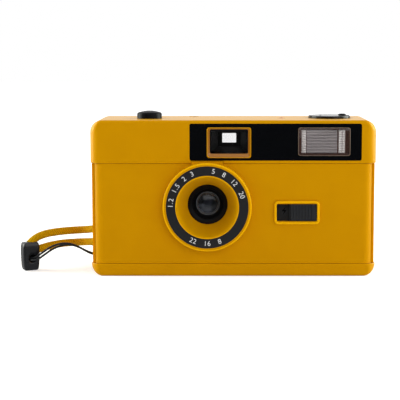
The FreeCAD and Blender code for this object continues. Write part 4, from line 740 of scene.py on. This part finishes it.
def steppedFrame(low, high, section):
    shape = bmesh.new()
    loops = []
    for side, top, foot, corner, depth in section:
        loops.append(roundedLoop(shape, low.x + side * mm, high.x - side * mm, low.z + foot * mm,
                                 high.z - top * mm, corner * mm, low.y + depth * mm))
    for loop, following in zip(loops, loops[1:] + loops[:1]):
        for index, corner in enumerate(loop):
            after = (index + 1) % len(loop)
            shape.faces.new((corner, loop[after], following[after], following[index]))
    bmesh.ops.recalc_face_normals(shape, faces=shape.faces)
    return shape


def makeFlashPane(low, high, settings):
    pane = roundedPlate(low, Vector((high.x, low.y + settings["paneThickness"] * mm, high.z)),
                        settings["corner"], settings["paneBevel"])
    piece = objectFromMesh("flashPane", smoothMesh("flashPane", pane, settings["sharpAngle"]), "root",
                           materials["smokedPane"])
    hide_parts("flash_window")


def makeFlashTray(low, high, back, settings):
    inset = settings["trayInset"] * mm
    front = low.y + (settings["paneThickness"] + settings["trayGap"]) * mm
    tray = roundedPlate(Vector((low.x + inset, front, low.z + inset)),
                        Vector((high.x - inset, back + settings["trayBehind"] * mm, high.z - inset)),
                        settings["corner"], 0.0)
    floors = [face for face in tray.faces if face.normal.y < facesFront and len(face.verts) > 8]
    bmesh.ops.inset_individual(tray, faces=floors, thickness=settings["trayFrame"] * mm)
    sunk = bmesh.ops.extrude_discrete_faces(tray, faces=floors)["faces"]
    bmesh.ops.translate(tray, verts=sunk[0].verts[:], vec=(0.0, settings["traySunk"] * mm, 0.0))
    objectFromMesh("flashTray", smoothMesh("flashTray", tray, settings["sharpAngle"]), "root",
                   materials["brownTintedTray"])


def makeFlashRibs(left, right, foot, top, back, settings):
    pitch = (top - foot) / settings["ribs"]
    radius = pitch * settings["ribRadius"]
    ribs = bmesh.new()
    for index in range(settings["ribs"]):
        made = bmesh.ops.create_cone(ribs, cap_ends=True, segments=settings["ribSegments"], radius1=radius,
                                     radius2=radius, depth=right - left)
        place = Vector(((left + right) / 2.0, back, foot + (index + 0.5) * pitch))
        lie = (Matrix.Translation(place) @ Matrix.Diagonal((1.0, settings["ribFlat"], 1.0, 1.0))
               @ Matrix.Rotation(math.pi / 2.0, 4, "Y"))
        bmesh.ops.transform(ribs, matrix=lie, verts=made["verts"])
    objectFromMesh("flashRibs", smoothMesh("flashRibs", ribs, settings["ribAngle"]), "root",
                   materials["prismaticAcrylic"])


def makeFlashPrisms(low, width, foot, top, back, settings):
    prisms = bmesh.new()
    rise = (top - foot) / settings["prismRows"]
    for start, end in settings["strips"]:
        middle = low.x + (start + end) / 2.0 * width
        cell = Matrix.Diagonal(((end - start) * width, settings["prismDepth"] * mm, rise, 1.0))
        for index in range(settings["prismRows"]):
            made = bmesh.ops.create_cone(prisms, cap_ends=True, segments=4, radius1=settings["prismFoot"],
                                         radius2=settings["prismTip"], depth=1.0)
            place = Vector((middle, back - settings["prismsAhead"] * mm, foot + (index + 0.5) * rise))
            stand = (Matrix.Translation(place) @ cell @ Matrix.Rotation(math.pi / 2.0, 4, "X")
                     @ Matrix.Rotation(math.pi / 4.0, 4, "Z"))
            bmesh.ops.transform(prisms, matrix=stand, verts=made["verts"])
    bmesh.ops.recalc_face_normals(prisms, faces=prisms.faces)
    objectFromMesh("flashPrisms", plainMesh("flashPrisms", prisms), "root",
                   materials["mirrorBackedPrism"])


def makeFlashLens(settings):
    low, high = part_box("flash_window")
    width, height = high.x - low.x, high.z - low.z
    back = low.y + (settings["paneThickness"] + settings["ribsBehind"]) * mm
    left, right = (low.x + share * width for share in settings["across"])
    foot, top = (low.z + share * height for share in settings["rise"])
    makeFlashPane(low, high, settings)
    makeFlashTray(low, high, back, settings)
    makeFlashRibs(left, right, foot, top, back, settings)
    makeFlashPrisms(low, width, foot, top, back, settings)
    # lip: thin pale frame round the window, a painted highlight of light catching the clear edge
    lip = steppedFrame(low, high, settings["lip"])
    objectFromMesh("flashLip", smoothMesh("flashLip", lip, settings["lipAngle"]), "root",
                   materials["tanPaintedEdgeHighlight"])


makeFlashLens(flashLens)
print("flash window made")


# Raised rim around the flash switch, in a lighter yellow as a painted highlight, and the flash sign moulded
# in its base plate
switchTrim = {
    "width": 18.3, "height": 9.5, "proud": 0.2,
    # each line: inset at the sides, top and foot, corner radius, depth
    "section": [(0.0, 0.0, 0.0, 1.6, 0.9), (0.0, 0.0, 0.0, 1.6, 0.3), (0.14, 0.14, 0.14, 1.5, 0.1),
                (0.38, 0.38, 0.38, 1.3, 0.0), (0.64, 0.64, 0.64, 1.1, 0.0), (0.88, 0.88, 0.88, 0.9, 0.12),
                (1.02, 1.02, 1.02, 0.8, 0.34), (1.02, 1.02, 1.02, 0.8, 0.9)],
    "bolt": [(0.75, 1.9), (-1.05, -0.15), (0.1, -0.05), (-0.6, -1.9), (1.05, 0.45), (-0.1, 0.35)],
    "boltPlace": (-5.0, 0.3),   # mm from the middle of the switch
    "boltRise": 0.06,
    "sharpAngle": 50.0,
}


def makeSwitchTrim(settings):
    low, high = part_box("switch_plate")
    middle = (low + high) / 2.0
    half = Vector((settings["width"] / 2.0, 0.0, settings["height"] / 2.0)) * mm
    middle.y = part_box("flash_switch")[0].y - settings["proud"] * mm
    rim = steppedFrame(middle - half, middle + half, settings["section"])
    objectFromMesh("switchRim", smoothMesh("switchRim", rim, settings["sharpAngle"]), "root",
                   materials["yellowAbsPaintedHighlight"])
    bolt = bmesh.new()
    corners = [bolt.verts.new((x * mm, 0.0, z * mm)) for x, z in settings["bolt"]]
    face = bolt.faces.new(corners)
    moved = bmesh.ops.extrude_face_region(bolt, geom=[face])
    raised = [item for item in moved["geom"] if isinstance(item, bmesh.types.BMVert)]
    bmesh.ops.translate(bolt, verts=raised, vec=(0.0, -settings["boltRise"] * mm, 0.0))
    bmesh.ops.recalc_face_normals(bolt, faces=bolt.faces)
    across, up = settings["boltPlace"]
    bmesh.ops.translate(bolt, verts=bolt.verts, vec=(middle.x + across * mm, low.y, middle.z + up * mm))
    objectFromMesh("flashSign", plainMesh("flashSign", bolt), "root",
                   materials["blackAbsPolished"])


makeSwitchTrim(switchTrim)
print("switch rim and sign made")


# Finder bezel: thin lip, glossy walls that slope in to the tunnel in a darker yellow as painted shade, and
# the field mask at its far end
finderTrim = {
    # each line: inset at the sides, top and foot, corner radius, depth
    "lip": [(0.0, 0.0, 0.0, 1.4, 0.5), (0.0, 0.0, 0.0, 1.4, -0.3), (0.1, 0.1, 0.1, 1.3, -0.42),
            (0.22, 0.22, 0.22, 1.2, -0.42), (0.3, 0.28, 0.3, 1.15, -0.34), (0.3, 0.28, 0.3, 1.15, 0.5)],
    "walls": [(0.27, 0.25, 0.27, 1.15, 0.5), (0.27, 0.25, 0.27, 1.15, -0.36), (1.15, 0.72, 1.72, 0.7, -0.06),
              (1.15, 0.72, 1.72, 0.7, 0.5)],
    "mouth": [(1.1, 0.68, 1.68, 0.7, 0.5), (1.1, 0.68, 1.68, 0.7, -0.04), (1.6, 1.6, 1.8, 0.4, -0.02),
              (1.6, 1.6, 1.8, 0.4, 0.5)],
    "mask": [(0.0, 0.0, 0.0, 0.3, 0.4), (0.0, 0.0, 0.0, 0.3, 0.0), (2.25, 2.1, 1.9, 0.3, 0.0),
             (2.25, 2.1, 1.9, 0.3, 0.4)],
    "maskAhead": 0.45,    # mm in front of the rear lens
    "finishes": {"lip": ("yellowAbsMoulded", "yellow_abs"), "walls": ("yellowAbsGlossyPaintedShade", "yellow_abs"),
                 "mouth": ("blackAbsRibbedDull", "black_abs")},
    "sharpAngle": 50.0,
}


def makeFinderTrim(settings):
    low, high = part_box("finder_front_lens")
    low.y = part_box("top_cover")[0].y
    for name, (finish, slot) in settings["finishes"].items():
        part = steppedFrame(low, high, settings[name])
        pieceName = "finder" + name.capitalize()
        objectFromMesh(pieceName, smoothMesh(pieceName, part, settings["sharpAngle"]), "root",
                       materials[finish])
    low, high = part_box("finder_rear_lens")
    low.y -= settings["maskAhead"] * mm
    mask = steppedFrame(low, high, settings["mask"])
    objectFromMesh("finderMask", smoothMesh("finderMask", mask, settings["sharpAngle"]), "root",
                   materials["blackAbsRibbedDull"])


makeFinderTrim(finderTrim)
print("finder trim made")


# Side strips: edge of the body shell seen beside the front cover, in a darker yellow as painted shade
sideStrips = {
    "ringProjection": 4.0,             # mm from the foremost point, the lens ring, back to the front face
    "inner": 55.95, "outer": 56.9,     # mm either side of the middle
    "foot": 5.2, "top": 45.5,          # mm above the floor
    "front": 1.75, "back": 7.5,        # mm behind the front face
    "rounding": 0.08,
    "sharpAngle": 40.0,
}


def makeSideStrips(settings):
    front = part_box("front_cover")[0].y + settings["ringProjection"] * mm
    strips = bmesh.new()
    for side in (-1.0, 1.0):
        across = sorted((side * settings["inner"], side * settings["outer"]))
        bar = roundedPlate(Vector((across[0] * mm, front + settings["front"] * mm, settings["foot"] * mm)),
                           Vector((across[1] * mm, front + settings["back"] * mm, settings["top"] * mm)),
                           settings["rounding"], settings["rounding"])
        part = smoothMesh("sideStrip", bar)
        strips.from_mesh(part)
        bpy.data.meshes.remove(part)
    objectFromMesh("sideStrips", smoothMesh("sideStrips", strips, settings["sharpAngle"]), "root",
                   materials["yellowAbsShaded"])


makeSideStrips(sideStrips)
print("side strips made")


# Shutter button and crank knob: turned outlines, radius and height in mm
shutterCap = {
    "outline": [(0.0, 0.0), (5.95, 0.0), (5.95, 1.0), (5.08, 1.1), (5.08, 9.35), (5.0, 9.75), (4.75, 10.05),
                (4.2, 10.28), (2.9, 10.6), (1.5, 10.84), (0.0, 10.92)],
    "spinSteps": 72, "sharpAngle": 40.0,
}
crankKnob = {
    "outline": [(0.0, 0.0), (1.45, 0.0), (1.62, 0.12), (1.62, 0.42), (1.42, 0.6), (0.9, 0.68), (0.0, 0.7)],
    "spinSteps": 48, "sharpAngle": 40.0,
}


def makeTurnedCap(name, settings, node, body, material):
    low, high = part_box(node)
    foot = Vector(((low.x + high.x) / 2.0, (low.y + high.y) / 2.0, low.z))
    places = [(radius, 0.0, height) for radius, height in settings["outline"]]
    shape = turned(places, foot, (0.0, 0.0, 1.0), settings["spinSteps"], False)
    mesh = smoothMesh(name, shape, settings["sharpAngle"])
    piece = objectFromMesh(name, mesh, body, materials[material])
    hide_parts(node)


makeTurnedCap("shutterCap", shutterCap, "shutter_button", "button", "blackAbsFine")
makeTurnedCap("crankKnob", crankKnob, "crank_knob", "knob", "blackAbsGlossy")
print("button and knob made")


def makePlateSpring():
    piece = objectFromMesh("plateSpring", nodes["pressure_spring"].data.copy(), "door",
                           materials["springSteelWire"])
    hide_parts("pressure_spring")
    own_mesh(piece)


makePlateSpring()
print("plate spring made")


# Floor and light: pale table, white surround, soft boxes, dark room behind the photographer
stageSettings = {
    "floorSize": 6.0, "floorSunk": 0.0001, "floorColour": "E2E2E2",    # m
    "floorGlow": 0.52, "glowReach": (0.15, 0.8),     # the camera sees the floor whiter from here to there, m
    "surround": 0.44,                                # light that the surround sheds on matt surfaces
    "darkRoom": 0.04,                                # what gloss mirrors straight ahead
    "darkFloor": (-0.15, 0.2),                       # the mirrored floor goes from dark to white here, m
    "darkAhead": (-0.92, -0.55),                     # and the surround, by how far a ray goes to the front
    "lampAim": (0.0, 0.0, 0.03),
    "lamps": {
        "keyBox": {"place": (0.1, -0.9, 0.5), "size": 0.9, "power": 1.85},
        "fillBox": {"place": (0.6, -0.75, 0.35), "size": 0.8, "power": 1.7},
        "leftBox": {"place": (-0.8, 0.12, 0.3), "size": 0.6, "power": 9.0, "colour": (0.96, 1.0, 0.9)},
        "rightBox": {"place": (0.8, 0.12, 0.3), "size": 0.6, "power": 9.0, "colour": (0.96, 1.0, 0.9)},
    },
}


def seenByGloss(rays, tree):
    either = addNode(tree, "Math", {"operation": "ADD", "use_clamp": True},
                     {0: rays.outputs["Is Glossy Ray"], 1: rays.outputs["Is Transmission Ray"]})
    return either.outputs["Value"]


def makeFloor(settings):
    floor = bmesh.new()
    bmesh.ops.create_grid(floor, x_segments=1, y_segments=1, size=settings["floorSize"] / 2.0)
    bmesh.ops.translate(floor, verts=floor.verts, vec=(0.0, 0.0, -settings["floorSunk"]))
    mesh = plainMesh("floor", floor)
    piece = bpy.data.objects.new("floor", mesh)
    collection.objects.link(piece)
    material = bpy.data.materials.new("paleTable")
    tree = clearedTree(material)
    paint = addNode(tree, "BsdfDiffuse", {"Color": linearColour(settings["floorColour"])})
    place = addNode(tree, "TexCoord").outputs["Object"]
    split = addNode(tree, "SeparateXYZ", links={"Vector": place})
    rays = addNode(tree, "LightPath")
    reach = addNode(tree, "VectorMath", {"operation": "LENGTH"}, {0: place})
    near, far = settings["glowReach"]
    level = addNode(tree, "MapRange", {"From Min": near, "From Max": far, "To Min": settings["floorGlow"]},
                    {"Value": reach.outputs["Value"]})
    strength = addNode(tree, "Math", {"operation": "MULTIPLY"},
                       {0: rays.outputs["Is Camera Ray"], 1: level.outputs["Result"]})
    glow = addNode(tree, "Emission", links={"Strength": strength.outputs["Value"]})
    both = addNode(tree, "AddShader", links={0: paint.outputs["BSDF"], 1: glow.outputs["Emission"]})
    dark, white = settings["darkFloor"]
    mirrored = addNode(tree, "MapRange", {"From Min": dark, "From Max": white,
                                          "To Min": settings["darkRoom"]}, {"Value": split.outputs["Y"]})
    shine = addNode(tree, "Emission", links={"Strength": mirrored.outputs["Result"]})
    whole = addNode(tree, "MixShader", links={0: seenByGloss(rays, tree), 1: both.outputs["Shader"],
                                              2: shine.outputs["Emission"]})
    addNode(tree, "OutputMaterial", links={"Surface": whole.outputs["Shader"]})
    mesh.materials.append(material)


def makeSurround(settings):
    world = bpy.data.worlds.new("surround")
    bpy.context.scene.world = world
    tree = clearedTree(world)
    level = settings["surround"]
    rayWay = addNode(tree, "TexCoord").outputs["Generated"]     # in a world, the way that the ray goes
    split = addNode(tree, "SeparateXYZ", links={"Vector": rayWay})
    dark, white = settings["darkAhead"]
    ahead = addNode(tree, "MapRange", {"From Min": dark, "From Max": white,
                                       "To Min": settings["darkRoom"] - level, "To Max": 1.0 - level},
                    {"Value": split.outputs["Y"]})
    rays = addNode(tree, "LightPath")
    gloss = addNode(tree, "Math", {"operation": "MULTIPLY_ADD", 2: level},
                    {0: seenByGloss(rays, tree), 1: ahead.outputs["Result"]})
    strength = addNode(tree, "Math", {"operation": "MULTIPLY_ADD", 1: 1.0 - level},
                       {0: rays.outputs["Is Camera Ray"], 2: gloss.outputs["Value"]})
    background = addNode(tree, "Background", {"Color": (1.0, 1.0, 1.0, 1.0)},
                         {"Strength": strength.outputs["Value"]})
    addNode(tree, "OutputWorld", links={"Surface": background.outputs["Background"]})


def makeLamps(settings):
    for name, lamp in settings["lamps"].items():
        data = bpy.data.lights.new(name, "AREA")
        data.shape = "SQUARE"
        data.size = lamp["size"]
        data.energy = lamp["power"]
        data.color = lamp.get("colour", (1.0, 1.0, 1.0))
        piece = bpy.data.objects.new(name, data)
        piece.location = lamp["place"]
        aim = Vector(settings["lampAim"]) - Vector(lamp["place"])
        piece.rotation_euler = aim.to_track_quat("-Z", "Y").to_euler()
        collection.objects.link(piece)


makeFloor(stageSettings)
makeSurround(stageSettings)
makeLamps(stageSettings)
bpy.context.scene.view_settings.view_transform = "Standard"
print("stage set")
